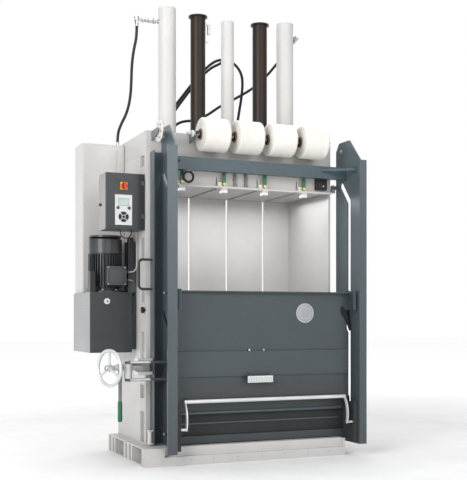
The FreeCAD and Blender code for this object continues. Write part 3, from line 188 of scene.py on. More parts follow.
WHITE = surface("white_powder_coat", (203, 201, 199), rough=0.46, vary=0.02, wear=0.2, bump=0.06, dust=0.1)
GREY = surface("grey_powder_coat", (66, 82, 88), rough=0.34, vary=0.04, wear=0.25, bump=0.05, dust=0.04)
# A darker copy of the door grey, as painted shade for the flap's recessed place, and its colour falls further
# towards the bottom as more painted shade.
FLAP_GREY_PAINTED_SHADE = surface("flap_coat_painted_shade", (42, 56, 62), rough=0.36, vary=0.04, wear=0.2, bump=0.05, dust=0.03,
                    shade=(0.5, 0.58, 0.6))
# The posts' grey falls to half of itself towards the bottom, a painted shade.
POST_GREY_PAINTED_SHADE = surface("post_coat_painted_shade", (66, 83, 91), rough=0.32, vary=0.04, wear=0.25, bump=0.05, dust=0.03,
                    shade=(0.2, 1.9, 0.5))
# A near-black copy of the grey paint, as painted shade: it darkens the slot guards and the lower door's
# recess, which lie in shadow.
GREY_PAINTED_SHADE = surface("grey_painted_shade_coat", (9, 13, 15), rough=0.5, vary=0.06, wear=0.2, bump=0.06, dust=0.03,
                    specular=0.25)
BOX_GREY = surface("box_grey_coat", (10, 18, 21), rough=0.24, vary=0.05, wear=0.2, bump=0.04, coat=0.1,
                   specular=0.35)
TANK_GREY = surface("tank_grey_coat", (22, 33, 37), rough=0.28, vary=0.05, wear=0.2, bump=0.04, coat=0.15,
                    dust=0.02, specular=0.4)
TUBE = surface("dark_tube_coat", (44, 35, 28), rough=0.42, vary=0.07, wear=0.2, bump=0.05, streak=0.2,
               specular=0.3)
CHARCOAL = surface("charcoal_paint", (30, 33, 36), rough=0.34, vary=0.1, wear=0.3, bump=0.07, coat=0.15)
STEEL = surface("zinc_plate", (178, 181, 184), rough=0.3, metal=0.85, vary=0.07, grain=420.0, bump=0.04)
ZINC = surface("bright_zinc", (214, 216, 217), rough=0.34, metal=0.3, vary=0.06, grain=420.0, bump=0.04)
ROD = surface("ground_rod", (176, 178, 180), rough=0.22, metal=0.95, vary=0.05, grain=500.0, bump=0.02)
GALV = surface("galvanised", (122, 125, 127), rough=0.45, metal=0.4, vary=0.12, grain=60.0, bump=0.03)
WOVEN = surface("woven_strap", (226, 223, 217), rough=0.72, vary=0.035, grain=900.0, bump=0.22, dust=0.08)
BRASS = surface("cast_brass", (204, 182, 118), rough=0.38, metal=0.6, vary=0.08, bump=0.08)
GREEN = surface("green_moulding", (10, 98, 60), rough=0.34, vary=0.06, bump=0.05, coat=0.2)
KEYS = surface("key_membrane", (206, 210, 210), rough=0.5, vary=0.03, bump=0.05)
RED = surface("red_moulding", (186, 22, 20), rough=0.34, vary=0.05, bump=0.04, coat=0.2)
YELLOW = surface("yellow_plate", (228, 186, 20), rough=0.42, vary=0.04, bump=0.04)
RUBBER = surface("hose_rubber", (22, 22, 23), rough=0.55, vary=0.12, grain=700.0, bump=0.12)
BLACK = surface("black_moulding", (20, 20, 21), rough=0.45, vary=0.1, bump=0.06)
CARD = surface("brown_card", (140, 98, 58), rough=0.85, vary=0.1, grain=500.0, bump=0.12)
CAP = surface("pale_cap", (214, 214, 210), rough=0.5, vary=0.04, bump=0.05)
GLASS = surface("display_glass", (162, 182, 170), rough=0.12, vary=0.05, bump=0.01, coat=0.6)
LINER = surface("grey_liner", (158, 162, 165), rough=0.55, vary=0.06, bump=0.05, dust=0.15)
CABLE = surface("pale_cable", (176, 176, 172), rough=0.55, vary=0.05, grain=600.0, bump=0.06)

FINISH = {
    WHITE: "base_frame left_wall right_wall back_wall head_frame press_cylinders centre_cylinder "
           "press_platen strap_rail service_cabinet",
    TUBE: "guide_tubes",
    GREY: "door_crossbeam hinge_knuckles",
    # The door posts take the grey that darkens downwards as painted shade.
    POST_GREY_PAINTED_SHADE: "door_post_left door_post_right",
    # The flap, its arms and the lower door take the darker grey of painted shade.
    FLAP_GREY_PAINTED_SHADE: "flap_panel flap_arms lower_door",
    BOX_GREY: "control_box control_door",
    TANK_GREY: "power_pack_box",
    # The slot guards take the near-black grey of painted shade.
    GREY_PAINTED_SHADE: "slot_guards",
    CHARCOAL: "pull_bar door_handle motor_body motor_cowl terminal_box pump_block lock_arms",
    STEEL: "hinge_brackets roll_axle tube_sensor hose_fittings",
    ZINC: "lock_spindle lock_keeper handwheel ejector_bar",
    ROD: "piston_rods",
    GALV: "roll_brackets lock_lever",
    WOVEN: "end_discs strap_roll_1 strap_roll_2 strap_roll_3 strap_roll_4",
    BRASS: "clamp_blocks",
    GREEN: "clamp_lever_1 clamp_lever_2 clamp_lever_3 clamp_lever_4",
    BLACK: "flap_rollers junction_box",
    KEYS: "key_panel",
    RED: "switch_knob",
    CAP: "filler_cap",
    RUBBER: "hose_left hose_loop hose_centre hose_right control_cable",
}
for material, names in FINISH.items():
    for name in names.split():
        shape = NODES[name]
        shape.data.materials.clear()
        shape.data.materials.append(material)

RECESS_FRONT = -0.3299
RECESS_Z = (0.160, 0.306)
STRIP_BACK = -0.4438
STRIP_TOP = 0.5395


def second_finish(name, material, chosen):
    """A node's faces take a second finish where their centre, in metres, is chosen."""
    mesh = NODES[name].data
    mesh.materials.append(material)
    for face in mesh.polygons:
        if chosen(face.center):
            face.material_index = 1


# The lower door's recess is in deep shadow, so its faces take the near-black grey of painted shade. The grip
# strip on the pull bar is bright, and the bar and brackets behind it are dark.
second_finish("lower_door", GREY_PAINTED_SHADE, lambda c: c.y > RECESS_FRONT and RECESS_Z[0] < c.z < RECESS_Z[1])
second_finish("pull_bar", ZINC, lambda c: c.y < STRIP_BACK and c.z < STRIP_TOP)


# ------------------------------------------------------------------ mesh helpers
RIGHT = (1, 0, 0)
LEFT = (-1, 0, 0)
FORWARD = (0, -1, 0)
UP = (0, 0, 1)
DOWN = (0, 0, -1)
SHARP_ANGLE = math.radians(32)


def around(count, radius, first=0.0):
    """The points of a circle, evenly spaced from an angle in degrees."""
    turns = [2 * math.pi * k / count + math.radians(first) for k in range(count)]
    return [(radius * math.cos(a), radius * math.sin(a)) for a in turns]


def add_box(bm, x, y, z):
    """A box between three pairs of limits."""
    centre = Vector((sum(x), sum(y), sum(z))) * (MM / 2)
    size = [(b - a) * MM for a, b in (x, y, z)]
    bmesh.ops.create_cube(bm, size=1.0, matrix=Matrix.Translation(centre) @ Matrix.Diagonal((*size, 1.0)))


def turning(start, direction):
    """The placement that takes +Z to a direction from a start point."""
    turn = Vector(direction).to_track_quat("Z", "Y").to_matrix().to_4x4()
    return Matrix.Translation(Vector(start) * MM) @ turn


def lathe(bm, profile, start, direction, steps=32, closed=False):
    """A profile of (radius, height) pairs turned about a line. A closed profile makes a ring."""
    place = turning(start, direction)
    rows = []
    for s in range(steps):
        a = 2 * math.pi * s / steps
        rows.append([bm.verts.new(place @ Vector((r * MM * math.cos(a), r * MM * math.sin(a), h * MM)))
                     for r, h in profile])
    count = len(profile)
    for s in range(steps):
        here, there = rows[s], rows[(s + 1) % steps]
        for i in range(count if closed else count - 1):
            j = (i + 1) % count
            bm.faces.new((here[i], there[i], there[j], here[j]))
    bmesh.ops.remove_doubles(bm, verts=bm.verts, dist=1e-7)


def add_pin(bm, start, direction, radius, length, steps=24, edge=0.6):
    """A round pin with broken edges."""
    lathe(bm, [(0, 0), (radius - edge, 0), (radius, edge), (radius, length - edge), (radius - edge, length),
               (0, length)], start, direction, steps)


def add_ring(bm, start, direction, bore, radius, length, steps=40):
    """A flat ring."""
    profile = [(bore, 0), (radius, 0), (radius, length), (bore, length)]
    lathe(bm, profile, start, direction, steps, closed=True)


def add_nut(bm, start, direction, bore, across, length):
    """A hex nut with its bore open and no chamfer."""
    add_ring(bm, start, direction, bore, across / math.sqrt(3), length, 6)


def add_hex(bm, start, direction, across, length):
    """A hex head or nut with a chamfered top."""
    r = across / math.sqrt(3)
    lathe(bm, [(0, 0), (r, 0), (r, length * 0.8), (r * 0.86, length), (0, length)], start, direction, 6)


def add_bow(bm, centre, normal, radius, wire, steps=36):
    """A round-section ring."""
    profile = [(radius + across, along) for across, along in around(12, wire)]
    lathe(bm, profile, centre, normal, steps, closed=True)


def piece(name, build, material, body, bevel=0.0):
    """An object built by a function on an empty mesh, riding a body, with its finish slot."""
    bm = bmesh.new()
    build(bm)
    bmesh.ops.recalc_face_normals(bm, faces=bm.faces)
    mesh = bpy.data.meshes.new(name)
    bm.to_mesh(mesh)
    bm.free()
    mesh.materials.append(material)
    mesh.shade_smooth()
    mesh.set_sharp_from_angle(angle=SHARP_ANGLE)
    obj = bpy.data.objects.new(name, mesh)
    bpy.context.scene.collection.objects.link(obj)
    if bevel:
        rounding = obj.modifiers.new("rounding", "BEVEL")
        rounding.width = bevel * MM
        rounding.segments = 2
        rounding.limit_method = "ANGLE"
    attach(obj, body)
    return obj


# ------------------------------------------------------------------ strap rolls
ROLL_PITCH = 235
ROLL_XS = [-216 + ROLL_PITCH * i for i in range(4)]
ROLL_Y = -330
ROLL_Z = 2080
CORE_BORE = 30
CORE_R = 35
CORE_L = 180
CORE_EDGE = 0.8
WOUND_R = 106.5
WOUND_L = 172
WOUND_ROOM = 6
LAYER_COUNT = 14
BAND_COUNT = 9
HUB_LEFT = -94.8
AXLE_BORE = 12.4
KNOB_START = ROLL_Y - 18
KNOB_Z = ROLL_Z + 4


def wound_end():
    """The profile of one end face as (radius, depth): the edge of each layer, and the rounded rim."""
    span = WOUND_R - WOUND_ROOM - CORE_R
    step = span / LAYER_COUNT
    profile = []
    for k in range(LAYER_COUNT):
        r = CORE_R + 0.2 + span * k / LAYER_COUNT
        dip = 0.7 + 0.5 * random.random()
        profile += [(r, dip), (r + step * 0.25, 0.1), (r + step * 0.8, 0.0)]
    return profile + [(WOUND_R - 4, 1.2), (WOUND_R - 1.4, 4.0)]


def wound_bands():
    """The profile of the bands that lie side by side on the winding's outside."""
    width = (WOUND_L - 2 * WOUND_ROOM) / BAND_COUNT
    profile = []
    for b in range(BAND_COUNT):
        h = -WOUND_L / 2 + WOUND_ROOM + b * width
        top = WOUND_R - 0.4 + 0.5 * random.random()
        profile += [(WOUND_R - 1.5, h), (top, h + 1.6), (top, h + width - 1.6)]
    return profile


def wound_strap(bm, x):
    """The strap wound side by side in bands, its faces showing the edges of the layers."""
    half = WOUND_L / 2
    end = wound_end()
    left = [(r, -half + depth) for r, depth in end]
    right = [(r, half - depth) for r, depth in reversed(end)]
    lathe(bm, left + wound_bands() + right, (x, ROLL_Y, ROLL_Z), RIGHT, 88, closed=True)


def card_core(bm, x):
    """The card tube that the strap is wound on."""
    half = CORE_L / 2
    left = [(CORE_BORE, -half + CORE_EDGE), (CORE_BORE + CORE_EDGE, -half), (CORE_R - 0.6, -half),
            (CORE_R, -half + CORE_EDGE)]
    right = [(r, -h) for r, h in reversed(left)]
    lathe(bm, left + right, (x, ROLL_Y, ROLL_Z), RIGHT, 56, closed=True)


def hub_face(bm, x):
    """The dark end face of the hub inside a core, with its retaining ring."""
    start = x + HUB_LEFT
    add_ring(bm, (start, ROLL_Y, ROLL_Z), RIGHT, AXLE_BORE, 29.4, 2.4)
    add_ring(bm, (start - 1.6, ROLL_Y, ROLL_Z), RIGHT, AXLE_BORE, 18, 1.6)


for number, roll_x in enumerate(ROLL_XS, 1):
    body = "roll_%d" % number
    strap = piece("strap_winding_%d" % number, lambda bm, x=roll_x: wound_strap(bm, x), WOVEN, body)
    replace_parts(strap, "strap_roll_%d" % number)
    piece("card_core_%d" % number, lambda bm, x=roll_x: card_core(bm, x), CARD, body)
    piece("hub_face_%d" % number, lambda bm, x=roll_x: hub_face(bm, x), BLACK, "press_frame")


def bracket_knobs(bm):
    """A black clamping knob on the tip of each roll bracket, one more than there are rolls."""
    head = [(0, 0), (8, 0), (10, 2), (10, 7), (8, 10), (0, 10)]
    for i in range(len(ROLL_XS) + 1):
        x = ROLL_XS[0] + ROLL_PITCH * (i - 0.5)
        add_pin(bm, (x, KNOB_START, KNOB_Z), FORWARD, 7, 8)
        lathe(bm, head, (x, KNOB_START - 8, KNOB_Z), FORWARD, 10)


piece("bracket_knobs", bracket_knobs, BLACK, "press_frame", 0.6)

DISC_X = -584
DISC_FACE = -581.2


def stub_disc(bm):
    """The white disc at the far left with its rolled rim, and a collar on the axle's end."""
    lathe(bm, [(0, 3), (58, 3), (64, 0), (68, 2), (68.5, 5), (68.5, 9), (66, 12), (62, 12), (58, 9), (0, 9)],
          (DISC_X, ROLL_Y, ROLL_Z), RIGHT, 56)
    add_ring(bm, (-363.5, ROLL_Y, ROLL_Z), RIGHT, 12.3, 21, 12)


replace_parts(piece("stub_disc", stub_disc, CAP, "press_frame"), "end_discs")


def disc_bolts(bm):
    """The stub disc's centre bolt and its ring of dark screws."""
    add_hex(bm, (DISC_FACE, ROLL_Y, ROLL_Z), LEFT, 22, 2.6)
    for y, z in around(6, 44, 15):
        add_pin(bm, (DISC_FACE, ROLL_Y + y, ROLL_Z + z), LEFT, 5, 2.4, 12, 0.4)


piece("disc_bolts", disc_bolts, BLACK, "press_frame")


# ------------------------------------------------------------------ control box front
KEYS_X = -771
KEYS_SEAT = -206.4
ARROWS_Z = 1548
ROUND_KEYS_Z = 1604
DISPLAY_Z = 1640
SWITCH_X = -769
SWITCH_Z = 1742
SWITCH_BORE_R = 20.6
BARREL_X = -634
BARREL_Y = -202.5
SIDE_X = -884
SIDE_LOCK = (-70, 1633)


def key_arc(bm, turn):
    """One quarter of the ring of arrow keys, as a bent pad."""
    steps = 9
    rows = []
    for k in range(steps + 1):
        a = math.radians(turn - 38 + 76 * k / steps)
        for r, y in ((13, 0), (13, -1.5), (33, -1.5), (33, 0)):
            x = KEYS_X + r * math.cos(a)
            z = ARROWS_Z + r * math.sin(a)
            rows.append(bm.verts.new((MM * x, MM * (KEYS_SEAT + y), MM * z)))
    for k in range(steps):
        for i in range(4):
            a, b = 4 * k + i, 4 * k + (i + 1) % 4
            bm.faces.new((rows[a], rows[b], rows[b + 4], rows[a + 4]))
    bm.faces.new(rows[:4])
    bm.faces.new(rows[-4:])


def arrow_keys(bm):
    """Four arrow keys round a middle key."""
    for turn in (0, 90, 180, 270):
        key_arc(bm, turn)
    add_pin(bm, (KEYS_X, KEYS_SEAT, ARROWS_Z), FORWARD, 9, 2, 24, 0.5)


piece("arrow_keys", arrow_keys, BLACK, "box_door", 0.3)


def round_keys(bm):
    """Two round keys, each in a collar, left and right above the arrows."""
    for side in (-36, 36):
        add_ring(bm, (KEYS_X + side, KEYS_SEAT, ROUND_KEYS_Z), FORWARD, 8.2, 10.5, 1.4)
        add_pin(bm, (KEYS_X + side, KEYS_SEAT, ROUND_KEYS_Z), FORWARD, 7.6, 2.2, 24, 0.6)


piece("round_keys", round_keys, CHARCOAL, "box_door")


def display(bm):
    """The display's glass in its window."""
    add_box(bm, (KEYS_X - 31.5, KEYS_X + 31.5), (KEYS_SEAT, -205.1), (DISPLAY_Z - 19.5, DISPLAY_Z + 19.5))


piece("display_glass", display, GLASS, "box_door", 0.5)


def add_frame(bm, x, y, z, width):
    """Four bars of one width that make a frame inside limits in x and z."""
    for side in ((x[0], x[0] + width), (x[1] - width, x[1])):
        add_box(bm, side, y, z)
    for edge in ((z[0], z[0] + width), (z[1] - width, z[1])):
        add_box(bm, (x[0] + width, x[1] - width), y, edge)


def display_frame(bm):
    """The raised frame round the display."""
    add_frame(bm, (KEYS_X - 36, KEYS_X + 36), (KEYS_SEAT - 0.9, KEYS_SEAT),
              (DISPLAY_Z - 24, DISPLAY_Z + 24), 3)


piece("display_frame", display_frame, LINER, "box_door", 0.3)


def switch_plate(bm):
    """The yellow square plate round the red switch."""
    half = 23.5
    steps = 32
    outer = []
    inner = []
    for depth in (-205.55, -206.2):
        for k in range(steps):
            a = 2 * math.pi * (k + 0.5) / steps
            c, s = math.cos(a), math.sin(a)
            for ring, r in ((outer, half / max(abs(c), abs(s))), (inner, SWITCH_BORE_R)):
                ring.append(bm.verts.new((MM * (SWITCH_X + r * c), MM * depth, MM * (SWITCH_Z + r * s))))
    for k in range(steps):
        n = (k + 1) % steps
        bm.faces.new((outer[k], outer[n], inner[n], inner[k]))
        bm.faces.new((outer[steps + k], inner[steps + k], inner[steps + n], outer[steps + n]))
        bm.faces.new((outer[k], outer[steps + k], outer[steps + n], outer[n]))
        bm.faces.new((inner[k], inner[n], inner[steps + n], inner[steps + k]))


piece("switch_plate", switch_plate, YELLOW, "box_door")


def door_hinges(bm):
    """The box door's two hinge barrels at its right edge, each with a pin."""
    for z in (1540, 1750):
        add_pin(bm, (BARREL_X, BARREL_Y, z), UP, 4, 30, 20)
        add_pin(bm, (BARREL_X, BARREL_Y, z - 3), UP, 2.4, 36, 16)
        add_box(bm, (-655, BARREL_X - 4), (-204.2, -202.3), (z + 2, z + 28))


piece("door_hinges", door_hinges, CHARCOAL, "box_door")


def side_lock(bm):
    """The barrel lock on the control box's left side."""
    y, z = SIDE_LOCK
    add_ring(bm, (SIDE_X, y, z), LEFT, 8, 12, 3)
    add_pin(bm, (SIDE_X, y, z), LEFT, 7.6, 7, 24, 1)
    add_box(bm, (SIDE_X - 9.5, SIDE_X - 7), (y - 1.2, y + 1.2), (z - 6, z + 6))


piece("side_lock", side_lock, CHARCOAL, "press_frame")

# ------------------------------------------------------------------ power pack
MOTOR_X = -812
MOTOR_Y = 85
TANK_TOP = 1079
TANK_FACE = -49
FLANGE_TOP = TANK_TOP + 14
COVER_FACE = -86.2
CAP_X = -836
CAP_Z = TANK_TOP - 58


def flange_bolts(bm):
    """Hex bolts with washers round the motor's foot flange."""
    for x, y in around(8, 115, 22.5):
        add_ring(bm, (MOTOR_X + x, MOTOR_Y + y, FLANGE_TOP), UP, 3, 7.2, 1.4, 20)
        add_hex(bm, (MOTOR_X + x, MOTOR_Y + y, FLANGE_TOP + 1.4), UP, 10, 6)


piece("flange_bolts", flange_bolts, STEEL, "press_frame")


def terminal_screws(bm):
    """The terminal cover's corner screws."""
    for x in (-836, -726):
        for z in (1130, 1238):
            add_pin(bm, (x, COVER_FACE, z), FORWARD, 4.2, 2.6, 16, 0.6)


piece("terminal_screws", terminal_screws, STEEL, "press_frame")


def cover_rib(bm):
    """The cast rib frame on the terminal cover's face."""
    add_frame(bm, (-830, -732), (COVER_FACE - 2.4, COVER_FACE), (1136, 1232), 4)


piece("terminal_cover_rib", cover_rib, CHARCOAL, "press_frame", 0.8)


def cowl_rims(bm):
    """Raised bead rings on the fan cowl."""
    for z in (1332, 1421):
        add_bow(bm, (MOTOR_X, MOTOR_Y, z), UP, 111, 1.6, 64)


piece("cowl_rims", cowl_rims, CHARCOAL, "press_frame")


def cap_ribs(bm):
    """The filler cap's grip ribs."""
    for x, z in around(16, 19):
        add_pin(bm, (CAP_X + x, TANK_FACE - 0.6, CAP_Z + z), FORWARD, 1.6, 7.8, 8, 0.4)


piece("cap_ribs", cap_ribs, CAP, "press_frame")


def cap_seal(bm):
    """The cap's dark seal, and the dark plug in its middle."""
    add_ring(bm, (CAP_X, TANK_FACE, CAP_Z), FORWARD, 19.2, 23, 1.6)
    add_pin(bm, (CAP_X, TANK_FACE - 14, CAP_Z), FORWARD, 5, 1.6, 16, 0.4)


piece("cap_seal", cap_seal, BLACK, "press_frame")

# ------------------------------------------------------------------ closing lock
LOCK_X = -779
LOCK_Y = -324
LOCK_Z = 610
LOCK_TURN = math.radians(24.5)
LOCK_DIRECTION = Vector((math.cos(LOCK_TURN), math.sin(LOCK_TURN), 0))
SPINDLE_BORE = 13.1
PLATE_FRONT = -346


def lock_point(offset, rise=0):
    """A point along the spindle from its pivot, and above it."""
    return Vector((LOCK_X, LOCK_Y, LOCK_Z + rise)) + LOCK_DIRECTION * offset


def spindle_nuts(bm):
    """Two hex nuts either side of the lever, thread rings, a sleeve, and raised rings on the nose."""
    for start in (-100, -50):
        add_ring(bm, lock_point(start), LOCK_DIRECTION, 13.2, 22, 14, 6)
    for k in range(9):
        add_ring(bm, lock_point(-128 + 3 * k), LOCK_DIRECTION, SPINDLE_BORE, 14, 1.6, 28)
    add_ring(bm, lock_point(27.6), LOCK_DIRECTION, SPINDLE_BORE, 21, 31)
    for k in range(4):
        add_ring(bm, lock_point(64 + 11 * k), LOCK_DIRECTION, 21.9, 22.8, 4)


piece("spindle_nuts", spindle_nuts, ZINC, "lock_swivel", 0.6)


def clevis_fittings(bm):
    """Bright washers over the pivot pin's ends, and cheek plates on the lock arms' front faces."""
    for z, up in ((648.1, 1), (524.9, -1)):
        add_ring(bm, (LOCK_X, LOCK_Y, z), (0, 0, up), 10.5, 18.5, 3)
    for z in (533, 640):
        add_box(bm, (-768, -640), (PLATE_FRONT, -343.1), (z - 5, z + 7))
        for x in (-752, -704, -656):
            add_hex(bm, (x, PLATE_FRONT, z), FORWARD, 10, 4)


piece("clevis_fittings", clevis_fittings, ZINC, "front_door")


def lever_grip(bm):
    """The green dipped grip on the lever's lower end."""
    place = lock_point(-62, -330)
    lathe(bm, [(0, -1), (9, -1), (13.5, 4), (14.5, 20), (13.6, 60), (14.2, 100), (14.2, 121), (12.7, 123),
               (12.6, 1), (0, 1)], place, UP, 28)


piece("lever_grip", lever_grip, GREEN, "lever")


def wheel_hub_cap(bm):
    """The handwheel's hub nut."""
    lathe(bm, [(0, 0), (15, 0), (15, -8), (10, -12), (0, -12)], lock_point(-166), LOCK_DIRECTION, 24)


piece("wheel_hub_cap", wheel_hub_cap, STEEL, "wheel")

# ------------------------------------------------------------------ head, rail and beam fittings
BEAM_UNDERSIDE = 1852
RING_X = -374
RING_Y = -303


def hanging_ring(bm):
    """The black ring that hangs from the crossbeam's underside."""
    add_bow(bm, (RING_X, RING_Y, BEAM_UNDERSIDE - 42), (0, 1, 0), 33, 8)


piece("hanging_ring", hanging_ring, BLACK, "front_door")


def ring_clip(bm):
    """The clip that holds the ring, with its bolt."""
    low = BEAM_UNDERSIDE - 6
    add_box(bm, (RING_X - 12, RING_X + 12), (RING_Y - 6, RING_Y + 6), (low, BEAM_UNDERSIDE))
    add_hex(bm, (RING_X, RING_Y, low), DOWN, 10, 3)


piece("ring_clip", ring_clip, STEEL, "front_door", 0.6)


ELBOW_Z = 2905
ELBOW_Y = 105
ELBOW_BORE = 10.2


def elbow_nuts(bm):
    """Hex bodies and a swivel collar along the left cylinder's elbow."""
    for x, across, length in ((-476, 34, 18), (-512, 30, 26), (-556, 32, 18)):
        add_nut(bm, (x, ELBOW_Y, ELBOW_Z), RIGHT, ELBOW_BORE, across, length)
    add_ring(bm, (-535, ELBOW_Y, ELBOW_Z), RIGHT, ELBOW_BORE, 13.5, 20)


piece("elbow_nuts", elbow_nuts, STEEL, "press_frame", 0.6)


STRAP_XS = (-400.5, -109.5, 181.5, 472.5)
LEVER_FACE = -257.4
LEVER_PIVOT_Z = 1784


def clamp_hardware(bm):
    """A pivot nut on each clamp lever, and a bright bracket with two screws at its left."""
    for x in STRAP_XS:
        add_ring(bm, (x, LEVER_FACE, LEVER_PIVOT_Z), FORWARD, 4, 9, 1.2)
        add_hex(bm, (x, LEVER_FACE, LEVER_PIVOT_Z), FORWARD, 13, 6)
        bracket = (x - 41, x - 25.5)
        add_box(bm, bracket, (-256, -252), (1769.2, 1794))
        add_box(bm, bracket, (-252, -232), (1769.2, 1773))
        for z in (1778, 1788):
            add_hex(bm, (x - 33, -256, z), FORWARD, 6, 3)


piece("clamp_hardware", clamp_hardware, ZINC, "press_frame", 0.5)

DECK_TOP = 2102
STUD_X = -497
STUD_Y = -150


def deck_stud(bm):
    """The stud with its cross pin that stands on the deck's left front corner."""
    add_pin(bm, (STUD_X, STUD_Y, DECK_TOP), UP, 5, 82)
    add_ring(bm, (STUD_X, STUD_Y, DECK_TOP), UP, 5.1, 13, 6)
    add_pin(bm, (STUD_X - 16, STUD_Y, DECK_TOP + 66), RIGHT, 4, 32)


piece("deck_stud", deck_stud, STEEL, "press_frame")


RAIL_TOP = 1769
POST_Y = -238


def rail_posts(bm):
    """Two plated guide posts that stand on the strap rail, with collars."""
    for x in (-26, 53):
        add_pin(bm, (x, POST_Y, RAIL_TOP), UP, 9, 130)
        for rise, length in ((0, 12), (43, 9)):
            add_ring(bm, (x, POST_Y, RAIL_TOP + rise), UP, 9.1, 11.5, length)


piece("rail_posts", rail_posts, GALV, "press_frame")


SWITCH_LID_FACE = -263


def rail_switch(bm):
    """The black switch block at the rail's right end, and its lid."""
    add_box(bm, (568, 648), (-260, -226), (1785, 1863))
    add_box(bm, (576, 640), (SWITCH_LID_FACE, -260), (1791, 1857))


def switch_button(bm):
    """The pale button on the switch block's lid."""
    add_pin(bm, (617, SWITCH_LID_FACE, 1808), FORWARD, 5, 3, 20, 0.8)


piece("rail_switch", rail_switch, BLACK, "press_frame", 2.0)
piece("switch_button", switch_button, CAP, "press_frame")


def ear_bolts(bm):
    """A hex bolt with its washer at each of the two ears, both heads to the left."""
    for x in (757.9, -529.1):
        add_ring(bm, (x, -264, 2052), LEFT, 5, 15, 2)
        add_hex(bm, (x - 2, -264, 2052), LEFT, 19, 9)


piece("ear_bolts", ear_bolts, STEEL, "front_door")

# ------------------------------------------------------------------ flap and door fittings
FLAP_FACE = -392
STOP_XS = (5, 107)
STOP_Z = 709
STOP_FACE = FLAP_FACE - 9


def flap_stops(bm):
    """Two black rubber stops at the band's upper edge."""
    for x in STOP_XS:
        add_box(bm, (x - 10, x + 10), (STOP_FACE, FLAP_FACE), (STOP_Z - 5, STOP_Z + 5))


def stop_screws(bm):
    """The bright screws that hold the stops."""
    for x in STOP_XS:
        add_ring(bm, (x, STOP_FACE, STOP_Z), FORWARD, 3, 6.5, 1)
        add_hex(bm, (x, STOP_FACE, STOP_Z), FORWARD, 9, 4)


piece("flap_stops", flap_stops, BLACK, "loading_flap", 1.5)
piece("stop_screws", stop_screws, ZINC, "loading_flap")

# The hook's outline in x and z, from its tip round the outer edge and back.
HOOK_LINE = ((676, 984), (692, 990), (716, 962), (738, 905), (752, 832), (743, 828), (727, 868), (705, 912),
             (682, 944))
HOOK_Y = (-401, -392.2)


def flap_hook(bm):
    """The black hook plate at the flap's right edge, with its bolt."""
    near, far = [[bm.verts.new((x * MM, y * MM, z * MM)) for x, z in HOOK_LINE] for y in HOOK_Y]
    bm.faces.new(near)
    bm.faces.new(far)
    for i in range(len(near)):
        j = (i + 1) % len(near)
        bm.faces.new((near[i], near[j], far[j], far[i]))
    add_pin(bm, (693, HOOK_Y[0], 962), FORWARD, 8, 5)


piece("flap_hook", flap_hook, BLACK, "loading_flap", 0.8)


BEAD_START = -470
BEAD_L = 1180


def door_beads(bm):
    """Two rolled edges across the lower door, one at the recess's top and one in it."""
    add_pin(bm, (BEAD_START, -333, 312), RIGHT, 10, BEAD_L, 28, 2)
    add_pin(bm, (BEAD_START, -307, 242), RIGHT, 6, BEAD_L, 20, 2)


piece("door_beads", door_beads, GREY, "front_door")


PALE_X = 410
PALE_Z = 946


def bare_disc(bm):
    """The bare pale disc on the flap, where the real one carries a sticker."""
    lathe(bm, [(0, 0), (64, 0), (64, 0.7), (63.4, 1), (0, 1)], (PALE_X, FLAP_FACE, PALE_Z), FORWARD, 64)


piece("bare_disc", bare_disc, LINER, "loading_flap")


def disc_border(bm):
    """Two thin raised rings on the pale disc."""
    for bore, radius in ((59, 62), (38, 40)):
        add_ring(bm, (PALE_X, FLAP_FACE - 1, PALE_Z), FORWARD, bore, radius, 0.3, 64)


piece("disc_border", disc_border, KEYS, "loading_flap")


GRIP_X = (-25.5, 149.5)
RIB_Y = (-451.2, -449.9)
RIB_COUNT = 14
RIB_PITCH = 11.6


def grip_ribs(bm):
    """The grip strip's pressed pattern: a row of short ribs between two long ones."""
    for z in (508, 532):
        add_box(bm, (GRIP_X[0] + 5, GRIP_X[1] - 5), RIB_Y, (z, z + 2))
    for k in range(RIB_COUNT):
        x = GRIP_X[0] + 10 + RIB_PITCH * k
        add_box(bm, (x, x + 3), RIB_Y, (513, 529))


piece("grip_ribs", grip_ribs, LINER, "loading_flap")


def roller_bolts(bm):
    """Domed nuts on the guide rollers' pins, outside both posts."""
    for z in (1070, 193):
        for x, side in ((796.2, RIGHT), (-555.2, LEFT)):
            lathe(bm, [(0, 0), (9, 0), (9, 3), (6, 6), (0, 7)], (x, -362, z), side, 20)


piece("roller_bolts", roller_bolts, STEEL, "loading_flap")


STOP_PIN_X = -620
STOP_PIN_Y = -269


def door_stop(bm):
    """The pale door stop roller between its two plates on the left post's outer lip."""
    for z in (122, 204):
        add_box(bm, (-634, -602.1), (-288, -250), (z, z + 6))
    add_pin(bm, (STOP_PIN_X, STOP_PIN_Y, 128.2), UP, 13, 75.6)


def door_stop_pin(bm):
    """The bright pin through the door stop roller."""
    add_pin(bm, (STOP_PIN_X, STOP_PIN_Y, 119), UP, 5.5, 94)


piece("door_stop", door_stop, CAP, "front_door", 1.0)
piece("door_stop_pin", door_stop_pin, STEEL, "front_door")

KNOB_FACE = -628
COLUMN_KNOB = (-200, 964)


def column_knob(bm):
    """The black star knob on the left column."""
    knob_y, knob_z = COLUMN_KNOB
    add_pin(bm, (KNOB_FACE, knob_y, knob_z), LEFT, 9, 10)
    for y, z in around(5, 12):
        add_pin(bm, (KNOB_FACE - 10, knob_y + y, knob_z + z), LEFT, 9, 14, 20, 2)
    add_pin(bm, (KNOB_FACE - 10, knob_y, knob_z), LEFT, 14, 16, 24, 2)


piece("column_knob", column_knob, BLACK, "press_frame")

WINDOWS = ((122, 318), (402, 489), (647, 825), (1015, 1105), (1290, 1427), (1880, 1950))
LINER_LAP = 4
LINER_LIMITS = (123, 1949)


